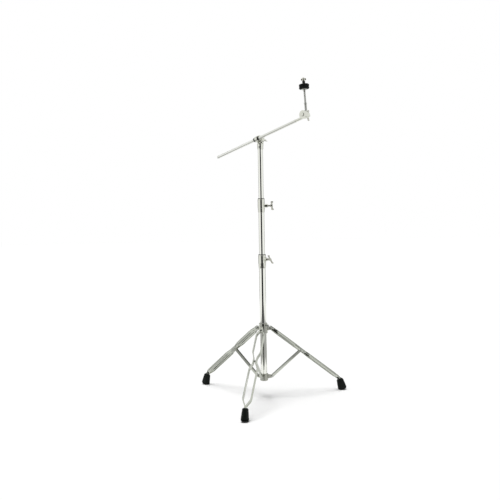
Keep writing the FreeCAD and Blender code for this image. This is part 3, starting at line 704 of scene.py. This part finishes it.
def blunt_ring(sides, power):
    """Unit ring between a circle (power 1) and a square (power 0)."""
    angles = [math.tau * k / sides for k in range(sides)]
    return [(math.copysign(abs(math.cos(a)) ** power, math.cos(a)),
             math.copysign(abs(math.sin(a)) ** power, math.sin(a))) for a in angles]


def wing_leaf(span, root, base, rise, thick):
    """One cast wing in the XZ plane, swept from the hub outwards and thinning to its lobe."""
    reach = span / 2
    stations, rows = [], 20
    for row in range(rows + 1):
        t = math.sin(math.pi / 2 * row / rows) ** 0.8
        along = root + (reach - root) * t
        lift = base + rise * (0.3 + 0.22 * t * t)
        tall = rise * (0.42 - 0.2 * math.sin(math.pi * min(1, t * 1.15)) + 0.16 * t)
        past = max(0.0, (t - 0.72) / 0.28)
        end = max(0.08, math.sqrt(max(0.0, 1 - past ** 2)))
        depth = thick * (0.75 - 0.25 * t) * (0.55 + 0.45 * end)
        stations.append((along, lift, tall * end, depth))
    verts, sides = [], 16
    for along, lift, tall, depth in stations:
        for y, z in blunt_ring(sides, 0.7):
            verts.append((along, y * depth, lift + z * tall))
    return verts, ring_faces(rows + 1, sides) + end_faces(rows + 1, sides)


def wing_pair(span, hub, base, rise=12 * MM, thick=3.4 * MM):
    """Both wings of a wing bolt or nut whose hub starts at base on the Z axis."""
    leaf = wing_leaf(span, hub * 0.6, base, rise, thick)
    other = moved(leaf, turned(("Z", 180)))
    return [leaf, other]


def wing_bolt_piece(name, node, matrix, tip, face, span=WING_SPAN, hub=6 * MM):
    """Wing bolt along Z: threaded shank, cast hub with a collar and two wings."""
    shank = BOLT_RADIUS
    core = lathe([(0, tip), (shank - 0.9 * MM, tip), (shank - 0.35 * MM, tip + 1 * MM),
                  (shank - 0.35 * MM, face - 1 * MM), (hub - 0.6 * MM, face - 1 * MM),
                  (hub, face + 1 * MM), (hub - 0.8 * MM, face + 5 * MM),
                  (hub - 1.4 * MM, face + 9 * MM), (0, face + 9.6 * MM)], 0.5 * MM, 48)
    screw = thread(shank, tip + 1 * MM, face - tip - 3 * MM)
    shapes = [core, screw] + wing_pair(span, hub, face + 2 * MM)
    make_piece(name, shapes, node, matrix)


def wing_nut_piece(name, node, matrix, face, span, hub):
    bore = BOLT_RADIUS + 0.05 * MM
    core = lathe([(bore, face), (hub - 0.8 * MM, face), (hub, face + 0.8 * MM),
                  (hub - 0.6 * MM, face + 5 * MM), (hub - 1.8 * MM, face + 10 * MM),
                  (bore, face + 10 * MM)], 0.5 * MM, 48)
    shapes = [core] + wing_pair(span, hub, face + 2 * MM)
    make_piece(name, shapes, node, matrix)


# ---------------- legs, braces and feet


def lipped_section(width, thick, side):
    """Cross-section of a pressed strip: a lip rolled outwards along each edge and a bead."""
    half, skin = width / 2, thick / 2
    lip, bead = 2.2 * MM, 0.5 * MM
    outer = [(-half, skin + lip - 0.5 * MM), (0.5 * MM - half, skin + lip),
             (1.3 * MM - half, skin + lip), (1.9 * MM - half, skin + lip - 0.6 * MM),
             (2.4 * MM - half, skin + 0.5 * MM), (3.0 * MM - half, skin)]
    crown = [(-2.2 * MM, skin), (-1.2 * MM, skin + bead * 0.7), (0, skin + bead)]
    right = [(-x, y) for x, y in reversed(outer + crown[:2])]
    inner = [(half, 0.5 * MM - skin), (half - 0.5 * MM, -skin), (2.2 * MM, -skin),
             (1.2 * MM, bead * 0.7 - skin), (-1.2 * MM, bead * 0.7 - skin), (-2.2 * MM, -skin),
             (0.5 * MM - half, -skin), (-half, 0.5 * MM - skin)]
    return [(side * y, x) for x, y in outer + crown + right + inner]


def strip_line(side):
    """Middle line of one strip in plan, from its eye at the collar to its boot."""
    half = STRIP_THICK / 2
    mid, end = STRUT, LEG_LENGTH
    pinch, waist, wide = STRIP_PINCH + half, STRIP_WAIST + half, STRIP_FLARE + half
    knots = [(-8 * MM, pinch), (7 * MM, pinch), (29 * MM, wide), (mid - 40 * MM, wide),
             (mid - 14 * MM, waist), (mid + 20 * MM, waist), (mid + 44 * MM, wide),
             (end - 35 * MM, wide), (end - 7 * MM, half), (end - 1 * MM, half)]
    flat = [Vector((x, side * y)) for x, y in knots]
    return rounded(flat, 9 * MM, steps=6)


def strip_shape(side):
    """One strip swept along its line, its end bent down into the boot."""
    line = strip_line(side)
    section = lipped_section(STRIP_WIDTH, STRIP_THICK, side)
    stations = []
    for index, point in enumerate(line):
        ahead = line[min(index + 1, len(line) - 1)] - line[max(index - 1, 0)]
        across = Vector((-ahead.y, ahead.x, 0)).normalized()
        near = min(1.0, (LEG_LENGTH - 4 * MM - point.x) / (26 * MM))
        narrow = 0.875 + 0.125 * max(0.0, near)
        stations.append((Vector((point.x, point.y, 0)), across, Vector((0, 0, narrow))))
    bend = LEG_SPREAD - BOOT_TILT
    for step in range(1, 7):
        angle = bend * min(step / 4, 1)
        reach = 2 * MM * min(step, 4) + max(0, step - 4) * 11 * MM
        down = bend * min(step / 4, 1) * 0.55 if step < 5 else bend
        place = Vector((LEG_LENGTH - 1 * MM + reach * math.cos(down), side * STRIP_THICK / 2,
                        -reach * math.sin(down)))
        lean = Vector((math.sin(angle), 0, math.cos(angle))) * 0.875
        stations.append((place, Vector((0, 1, 0)), lean))
    return sweep(stations, section)


def rivet_tree():
    """Domed rivet heads on a strip, at an even step."""
    tree, given, out = node_tree("rivet_row", [
        ("Count", WHOLE, 2), ("Step", VECTOR, (0.015, 0, 0)),
        ("Radius", FLOAT, 0.0048), ("Height", FLOAT, 0.0018),
        ("Material", MATERIAL, None)])
    row = add_node(tree, "GeometryNodeMeshLine", mode="OFFSET")
    wire(tree, given, "Count", row, "Count")
    wire(tree, given, "Step", row, "Offset")
    dome = add_node(tree, "GeometryNodeMeshUVSphere", Segments=32, Rings=12)
    dome.inputs["Radius"].default_value = 1.0
    size = add_node(tree, "ShaderNodeCombineXYZ")
    for axis in ("X", "Y"):
        tree.links.new(given.outputs["Radius"], size.inputs[axis])
    wire(tree, given, "Height", size, "Z")
    around = tree.nodes.new("GeometryNodeInstanceOnPoints")
    wire(tree, row, "Mesh", around, "Points")
    wire(tree, dome, "Mesh", around, "Instance")
    wire(tree, size, "Vector", around, "Scale")
    end_tree(tree, given, out, around.outputs["Instances"])
    return tree


RIVETS = rivet_tree()


def rivets_piece(number):
    """Both rows of two rivets where the strips close on the brace's eye."""
    face = STRIP_WAIST + STRIP_THICK
    row = grown(RIVETS, Count=2, Step=(RIVET_STEP, 0, 0), Radius=PIN_HEAD, Height=1.7 * MM,
                Material=ZINC)
    shapes = []
    for side in (1, -1):
        up = Matrix.Translation((STRUT, side * face, 0)) @ turned(("X", -90 * side))
        shapes.append(moved(row, up))
        for spot in (STRUT, STRUT + RIVET_STEP):
            stub = lathe([(0, -STRIP_THICK), (PIN_RADIUS, -STRIP_THICK), (PIN_RADIUS, 0.4 * MM),
                          (0, 0.4 * MM)], 0.1 * MM, 24)
            at = Matrix.Translation((spot, side * face, 0)) @ turned(("X", -90 * side))
            shapes.append(moved(stub, at))
    make_piece(f"leg_{number}_rivet_heads", shapes, f"leg_{number}_rivets", leg_frame(number))


def brace_shape():
    """Channel of folded sheet: rounded back, two cheeks, round eyes."""
    half, depth, wall = BRACE_WIDTH / 2, BRACE_DEPTH / 2, BRACE_WALL
    fold = 2.2 * MM
    outer = rounded([(-depth, half), (-depth, -half), (depth, -half), (depth, half)], fold,
                    steps=5)
    inner = rounded([(depth - wall, half), (depth - wall, wall - half),
                     (wall - depth, wall - half), (wall - depth, half)], fold - wall, steps=5)
    section = [(p.x, p.y) for p in outer + inner]
    stations, ends = [], 8
    for step in range(ends + 1):
        angle = math.pi / 2 * step / ends
        stations.append((-half * math.cos(angle), max(0.3, math.sin(angle))))
    stations += [(STRUT - x, tall) for x, tall in reversed(stations)]
    return sweep([(Vector((x, 0, 0)), Vector((0, 1, 0)), Vector((0, 0, tall)))
                  for x, tall in stations], section)


SOLE_ROLL = 0.12                        # share of the height that the sole's edge rolls in
SOLE_SHARES = [(0.0, 0.80), (0.015, 0.90), (0.05, 0.965), (SOLE_ROLL, 1.0), (1.0, 1.0)]
SOLE_INSET = 0.55
RIB_LOW, RIB_STEP = 0.7, 0.055


def boot_section(level):
    """Radial and tangential half sizes of the boot at a share of its height, sole first."""
    share = 1.0
    for (low, a), (high, b) in zip(SOLE_SHARES, SOLE_SHARES[1:]):
        if low <= level <= high:
            t = (level - low) / (high - low)
            share = a + (b - a) * t * t * (3 - 2 * t)
            break
    taper = max(0.0, (level - SOLE_ROLL) / (1 - SOLE_ROLL))
    share *= 1 + (BOOT_TOP / BOOT_RADIUS - 1) * taper
    return BOOT_RADIUS * share, BOOT_SIDE * share


def boot_piece(number):
    """Moulded rubber boot: flared sole with a rolled edge, ribbed waist, rounded shoulder."""
    rows = [0.0, 0.012, 0.03, 0.05, 0.08, SOLE_ROLL, 0.17, 0.22, 0.3, 0.4, 0.5, 0.6, 0.66,
            RIB_LOW]
    profile = [(0.0, SOLE_INSET)] + [(level, 1.0) for level in rows]
    for rib in range(2):
        start = RIB_LOW + rib * RIB_STEP
        profile += [(start + 0.006, 1.0), (start + 0.014, 0.955), (start + 0.026, 0.945),
                    (start + 0.038, 0.955), (start + 0.046, 1.0)]
    profile += [(0.83, 1.0), (0.87, 0.99), (0.91, 0.95), (0.94, 0.89), (0.965, 0.8),
                (0.98, 0.68), (0.985, 0.56)]
    verts, sides = [], 72
    for level, share in profile:
        radial, across = boot_section(level)
        for x, y in blunt_ring(sides, 0.82):
            verts.append((x * radial * share, y * across * share, (level - 1) * BOOT_LENGTH))
    faces = ring_faces(len(profile), sides) + end_faces(len(profile), sides)
    shape = bmesh.new()
    fill(shape, *moved((verts, faces), foot_frame(number)))
    cut = bmesh.ops.bisect_plane(shape, geom=shape.verts[:] + shape.edges[:] + shape.faces[:],
                                 plane_co=(0, 0, 0), plane_no=(0, 0, -1), clear_outer=True)
    rim = [e for e in cut["geom_cut"] if isinstance(e, bmesh.types.BMEdge)]
    bmesh.ops.holes_fill(shape, edges=rim, sides=0)
    shape.verts.index_update()
    cleaned = ([tuple(v.co) for v in shape.verts],
               [[v.index for v in f.verts] for f in shape.faces])
    shape.free()
    make_piece(f"rubber_boot_{number}", [cleaned], f"foot_{number}", sharp=50)


for number in LEGS:
    for side, label in ((-1, "left"), (1, "right")):
        make_piece(f"leg_{number}_pressed_{label}", [strip_shape(side)],
                   f"leg_{number}_strip_{label}", leg_frame(number))
    rivets_piece(number)
    boot_piece(number)
    make_piece(f"brace_{number}_channel", [brace_shape()], f"brace_{number}",
               brace_frame(number))


# ---------------- castings and pins

SOFTENED = {                            # node: radius of its edges, mm
    "lower_hub": 0.8, "hub_pins": 0.6, "base_tube_plug": 0.5, "leg_collar": 0.8,
    "collar_pins": 0.6, "collar_liner": 0.3, "collar_lock_bolt": 0.6, "lower_bushing": 0.3,
    "upper_bushing": 0.3, "tilter_base": 0.9, "tilter_head": 0.8, "tilter_eye_bolt": 0.6,
    "tilter_washer": 0.3, "ferrule_screw": 0.3, "boom_sleeve": 0.4, "tip_disc": 0.9,
    "tip_bolt": 0.6, "seat_tilter": 0.9, "cup_washer": 0.3, "seat_sleeve": 0.4,
    "top_washer": 0.4}

for node, radius in SOFTENED.items():
    softened(node, radius * MM)

# ---------------- wing bolts and nuts

BOLT_FACE = 40 * MM
LOWER_BOLT_TURN, UPPER_BOLT_TURN, BOLT_SPIN = -40, -6, 38
TILTER_WING_TURN, TIP_WING_TURN, TOP_NUT_TURN = 35, 104, 30


def clamp_bolt(name, node, joint, heading, tip):
    axis_point = Vector((0, 0, joint_point(joint).z))
    at = Matrix.Translation(axis_point) @ turned(("Z", heading), ("Y", 90), ("Z", BOLT_SPIN))
    wing_bolt_piece(name, node, at, tip, BOLT_FACE)


clamp_bolt("lower_wing_bolt_cast", "lower_wing_bolt", "lower_wing_turn",
           LOWER_BOLT_TURN, BASE_RADIUS + 0.3 * MM)
clamp_bolt("upper_wing_bolt_cast", "upper_wing_bolt", "upper_wing_turn",
           UPPER_BOLT_TURN, MIDDLE_RADIUS + 0.3 * MM)


# ---------------- height clamps

CLAMP_HEIGHT, CLAMP_WALL = 58 * MM, 2.6 * MM
BOSS_RADIUS, BOSS_REACH = 8 * MM, 28 * MM


def clamp_piece(name, node, radius, joint, heading):
    """Cast clamp: tapered skirt, straight barrel with a rolled lip, drilled boss."""
    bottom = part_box(node)[0][2]
    top, outer = bottom + CLAMP_HEIGHT, radius + CLAMP_WALL
    barrel = lathe([(radius, bottom), (radius + 1.2 * MM, bottom), (outer - 0.5 * MM,
                    bottom + 16 * MM), (outer, bottom + 22 * MM), (outer, top - 4.4 * MM),
                    (outer - 0.35 * MM, top - 4 * MM), (outer, top - 3.6 * MM),
                    (outer, top - 1 * MM), (outer - 1 * MM, top), (radius, top)], 0.6 * MM, 128)
    bore = BOLT_RADIUS + 0.05 * MM
    boss = lathe([(bore, radius + 0.5 * MM), (BOSS_RADIUS + 1.4 * MM, radius + 0.5 * MM),
                  (BOSS_RADIUS + 0.4 * MM, outer + 1.2 * MM), (BOSS_RADIUS, outer + 3 * MM),
                  (BOSS_RADIUS, BOSS_REACH - 0.8 * MM), (BOSS_RADIUS - 0.8 * MM, BOSS_REACH),
                  (bore + 0.4 * MM, BOSS_REACH), (bore, BOSS_REACH - 0.4 * MM)], 0.5 * MM, 72)
    height = joint_point(joint).z
    at = Matrix.Translation((0, 0, height)) @ turned(("Z", heading), ("Y", 90))
    make_piece(name, [barrel, moved(boss, at)], node)


clamp_piece("lower_clamp_cast", "lower_clamp", BASE_RADIUS, "lower_wing_turn",
            LOWER_BOLT_TURN)
clamp_piece("upper_clamp_cast", "upper_clamp", MIDDLE_RADIUS, "upper_wing_turn",
            UPPER_BOLT_TURN)

HEADING = math.degrees(math.atan2(BOOM_AXIS.y, BOOM_AXIS.x))
RISE = math.degrees(math.asin(BOOM_AXIS.z))
TILTER_FRAME = Matrix.Translation(TILTER_POINT) @ turned(("Z", HEADING))
BOOM_FRAME = TILTER_FRAME @ turned(("Y", -RISE))
TIP_FRAME = Matrix.Translation(TIP_POINT) @ turned(("Z", HEADING), ("Y", -RISE))
LEAN = math.degrees(math.asin(-SEAT_AXIS.x / math.cos(math.radians(HEADING))))
SEAT_FRAME = Matrix.Translation(SEAT_POINT) @ turned(("Z", HEADING), ("Y", -LEAN))
ROD_FRAME = BOOM_FRAME @ Matrix.Translation((0, -BOOM_OFFSET, 0)) @ turned(("Y", 90))

TILTER_NUT_FACE, TILTER_NUT_HUB = 10.9 * MM, 8 * MM
TIP_NUT_FACE, TIP_NUT_HUB, TIP_NUT_SPAN = 6.6 * MM, 7 * MM, 44 * MM

wing_nut_piece("tilter_wing_nut_cast", "tilter_wing_nut",
               BOOM_FRAME @ turned(("X", -90), ("Z", TILTER_WING_TURN)), TILTER_NUT_FACE,
               WING_SPAN, TILTER_NUT_HUB)
wing_nut_piece("tip_wing_nut_cast", "tip_wing_nut",
               TIP_FRAME @ turned(("X", -90), ("Z", TIP_WING_TURN)), TIP_NUT_FACE,
               TIP_NUT_SPAN, TIP_NUT_HUB)


# ---------------- boom rod

ROD_REAR, ROD_FRONT = -242 * MM, 215 * MM
GROOVE_REAR, GROOVE_FRONT, GROOVE_DEPTH = -24 * MM, -22 * MM, 0.3 * MM
KNURL_ROUND, KNURL_ROWS, KNURL_DEPTH = 80, 436, 0.22 * MM


def knurl_tree():
    """Tube wall with crossed diagonal grooves that fade out at both ends."""
    tree, given, out = node_tree("diamond_knurl", [
        ("Radius", FLOAT, 0.00635), ("Start", FLOAT, -0.24),
        ("Length", FLOAT, 0.2), ("Depth", FLOAT, 0.0002),
        ("Starts", FLOAT, 10.0), ("Around", WHOLE, 80),
        ("Rows", WHOLE, 400), ("Material", MATERIAL, None)])
    links = tree.links

    def maths(operation, first, second=None):
        node = tree.nodes.new("ShaderNodeMath")
        node.operation = operation
        for slot, value in enumerate((first, second)):
            if isinstance(value, (int, float)):
                node.inputs[slot].default_value = value
            elif value is not None:
                links.new(value, node.inputs[slot])
        return node.outputs[0]

    sheet = add_node(tree, "GeometryNodeMeshGrid")
    sheet.inputs["Size X"].default_value = 1.0
    sheet.inputs["Size Y"].default_value = 1.0
    links.new(maths("ADD", given.outputs["Around"], 1), sheet.inputs["Vertices X"])
    wire(tree, given, "Rows", sheet, "Vertices Y")
    place = tree.nodes.new("GeometryNodeInputPosition")
    split = tree.nodes.new("ShaderNodeSeparateXYZ")
    wire(tree, place, "Position", split, 0)
    angle = maths("MULTIPLY", maths("ADD", split.outputs["X"], 0.5), math.tau)
    share = maths("ADD", split.outputs["Y"], 0.5)
    along = maths("MULTIPLY", share, given.outputs["Length"])
    turn_by = maths("MULTIPLY", angle, given.outputs["Starts"])
    climb = maths("MULTIPLY", along, maths("DIVIDE", given.outputs["Starts"],
                                           given.outputs["Radius"]))
    one = maths("SINE", maths("ADD", turn_by, climb))
    two = maths("SINE", maths("SUBTRACT", turn_by, climb))
    diamond = maths("POWER", maths("ABSOLUTE", maths("MULTIPLY", one, two)), 0.5)
    fade = maths("MINIMUM", maths("MULTIPLY", maths("SUBTRACT", 1.0, share), 60.0), 1.0)
    fade = maths("MINIMUM", fade, maths("MULTIPLY", share, 60.0))
    cut = maths("MULTIPLY", maths("MULTIPLY", maths("SUBTRACT", 1.0, diamond),
                                  given.outputs["Depth"]), fade)
    radius = maths("SUBTRACT", given.outputs["Radius"], cut)
    spot = tree.nodes.new("ShaderNodeCombineXYZ")
    links.new(maths("MULTIPLY", radius, maths("COSINE", angle)), spot.inputs["X"])
    links.new(maths("MULTIPLY", radius, maths("SINE", angle)), spot.inputs["Y"])
    links.new(maths("ADD", along, given.outputs["Start"]), spot.inputs["Z"])
    bend = tree.nodes.new("GeometryNodeSetPosition")
    wire(tree, sheet, "Mesh", bend, "Geometry")
    wire(tree, spot, "Vector", bend, "Position")
    end_tree(tree, given, out, bend.outputs["Geometry"])
    return tree


KNURL = knurl_tree()


def ring_stack(profile, sides):
    """Open lathe with sharp corners and no closing face, for joining to others."""
    return ring_points(profile, sides), ring_faces(len(profile), sides)


def boom_rod_shapes():
    radius = BOOM_RADIUS
    knurl_start, knurl_end = ROD_REAR + 1.2 * MM, GROOVE_REAR - 0.4 * MM
    wall = grown(KNURL, Radius=radius, Start=knurl_start, Length=knurl_end - knurl_start,
                 Depth=KNURL_DEPTH, Starts=10.0, Around=KNURL_ROUND, Rows=KNURL_ROWS,
                 Material=KNURL_CHROME)
    rear = ring_stack([(0, ROD_REAR), (radius - 1.3 * MM, ROD_REAR),
                       (radius - 0.8 * MM, ROD_REAR + 0.15 * MM),
                       (radius - 0.2 * MM, ROD_REAR + 0.7 * MM), (radius, knurl_start)],
                      KNURL_ROUND)
    low = radius - GROOVE_DEPTH
    front = ring_stack([(radius, knurl_end), (radius - 0.1 * MM, GROOVE_REAR - 0.1 * MM),
                        (low, GROOVE_REAR), (low, GROOVE_FRONT),
                        (radius - 0.1 * MM, GROOVE_FRONT + 0.1 * MM),
                        (radius, GROOVE_FRONT + 0.4 * MM), (radius, 0), (radius, ROD_FRONT),
                        (0, ROD_FRONT)], KNURL_ROUND)
    return wall, rear, front


def boom_rod_piece():
    """One rod: smooth ahead of the groove, knurled behind it, in two finishes."""
    wall, rear, front = boom_rod_shapes()
    rod = make_piece("boom_rod_knurled", [wall, rear, front], "boom_rod", ROD_FRAME, 42,
                     WELD_BEFORE)
    rod.data.materials.append(KNURL_CHROME)
    into_rod = ROD_FRAME.inverted()
    for face in rod.data.polygons:
        if (into_rod @ face.center).z < GROOVE_REAR:
            face.material_index = 1


boom_rod_piece()


# ---------------- cymbal seat

ROD_TOP, SEAT_STEP = 150 * MM, 45 * MM
FELT_LOW = 107 * MM
FELT_HIGH = FELT_LOW + 2 * FELT_THICK
SEAT_ROD, SLEEVE_RADIUS = 4 * MM, 6 * MM
NUT_BOTTOM = FELT_HIGH + 12.3 * MM


def cymbal_rod_piece():
    core = SEAT_ROD - 0.35 * MM
    body = lathe([(0, 8 * MM), (SEAT_ROD, 8 * MM), (SEAT_ROD, 18 * MM),
                  (SEAT_ROD + 0.8 * MM, 18 * MM), (SEAT_ROD + 0.8 * MM, SEAT_STEP),
                  (SEAT_ROD + 2 * MM, SEAT_STEP), (SEAT_ROD + 2 * MM, SEAT_STEP + 4 * MM),
                  (SEAT_ROD, SEAT_STEP + 6 * MM), (SEAT_ROD, 92 * MM), (core, 93 * MM),
                  (core, ROD_TOP - 1 * MM), (core - 0.8 * MM, ROD_TOP), (0, ROD_TOP)],
                 0.4 * MM, 64)
    screw = thread(SEAT_ROD, 94 * MM, ROD_TOP - 97 * MM)
    make_piece("cymbal_rod_threaded", [body, screw], "cymbal_rod", SEAT_FRAME)


def felt_piece(name, node, bottom, phase):
    """Pressed felt ring: crowned faces, rolled edges, a rim uneven from the given phase on."""
    inner, outer, top = SLEEVE_RADIUS + 0.3 * MM, FELT_RADIUS, bottom + FELT_THICK
    bottom += 0.3 * MM
    profile = [(inner, bottom + 0.5 * MM), (inner + 1.2 * MM, bottom), (outer * 0.6, bottom),
               (outer - 2.6 * MM, bottom + 0.1 * MM), (outer - 0.9 * MM, bottom + 0.8 * MM),
               (outer, bottom + 2.6 * MM), (outer, top - 2.6 * MM),
               (outer - 0.9 * MM, top - 0.8 * MM), (outer - 2.6 * MM, top - 0.1 * MM),
               (outer * 0.6, top), (inner + 1.2 * MM, top), (inner, top - 0.5 * MM)]
    verts, faces = lathe(profile, 1.2 * MM, 96)
    uneven = []
    for x, y, z in verts:
        a = math.atan2(y, x)
        reach = math.hypot(x, y)
        pull = 1 - 0.008 * (1 + math.sin(3 * a + phase)) * (reach / outer) ** 4
        pull -= 0.004 * (1 + math.sin(11 * a + 2 * phase)) * (reach / outer) ** 4
        uneven.append((x * pull, y * pull, z))
    felt = make_piece(name, [(uneven, faces)], node, SEAT_FRAME, 60)


def top_nut_piece():
    """Cap nut over the rod's end with two round ears."""
    bore, low = SEAT_ROD + 0.05 * MM, NUT_BOTTOM
    cap = lathe([(bore, low), (5.5 * MM, low), (7 * MM, low + 4 * MM), (6.4 * MM, low + 10 * MM),
                 (5 * MM, low + 13.4 * MM), (3 * MM, low + 15.2 * MM), (0, low + 15.5 * MM),
                 (0, ROD_TOP + 1 * MM), (bore, ROD_TOP + 1 * MM), (bore, low)], 0.5 * MM, 64)
    shapes = [cap]
    for side in (0, 180):
        ear = lathe([(0, -1.8 * MM), (3.4 * MM, -1.8 * MM), (4.4 * MM, -1 * MM),
                     (4.4 * MM, 1 * MM), (3.4 * MM, 1.8 * MM), (0, 1.8 * MM)], 0.7 * MM, 40)
        stand = turned(("Z", side)) @ Matrix.Translation((6.6 * MM, 0, low + 7.6 * MM))
        shapes.append(moved(ear, stand @ turned(("X", 90))))
    make_piece("top_wing_nut_cast", shapes, "top_wing_nut",
               SEAT_FRAME @ turned(("Z", TOP_NUT_TURN)))


cymbal_rod_piece()
felt_piece("lower_felt_pressed", "lower_felt", FELT_LOW, 0.7)
felt_piece("upper_felt_pressed", "upper_felt", FELT_LOW + FELT_THICK, 2.4)
top_nut_piece()


# ---------------- tubes


def tube_piece(name, node, outer):
    """Drawn tube with its ends turned in a little, as a saw and a deburring tool leave them."""
    bottom, top = (corner[2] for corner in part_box(node))
    inner = outer - TUBE_WALL
    wall = lathe([(inner, bottom), (outer, bottom), (outer, top), (inner, top)], 0.4 * MM, 128)
    make_piece(name, [wall], node)


tube_piece("base_tube_drawn", "base_tube", BASE_RADIUS)
tube_piece("middle_tube_drawn", "middle_tube", MIDDLE_RADIUS)
tube_piece("top_tube_drawn", "top_tube", TOP_RADIUS)


# ---------------- ratchet rims


RIM_TEETH, RIM_TALL = 48, 1.6 * MM


def rim_teeth(name, node, matrix, low):
    """Shallow teeth round a ratchet disc's rim, next to its split."""
    row = grown(TEETH, Radius=RATCHET_RADIUS - 1.2 * MM, Count=RIM_TEETH,
                Tooth=(1.6 * MM, 0.9 * MM, RIM_TALL), Material=CAST_CHROME)
    shape = moved(row, Matrix.Translation((0, 0, low)))
    make_piece(name, [shape], node, matrix @ turned(("X", -90)), replaces=False)


rim_teeth("tilter_base_teeth", "tilter_base", TILTER_FRAME, -1 * MM)
rim_teeth("tilter_head_teeth", "tilter_head", BOOM_FRAME, -2.9 * MM)
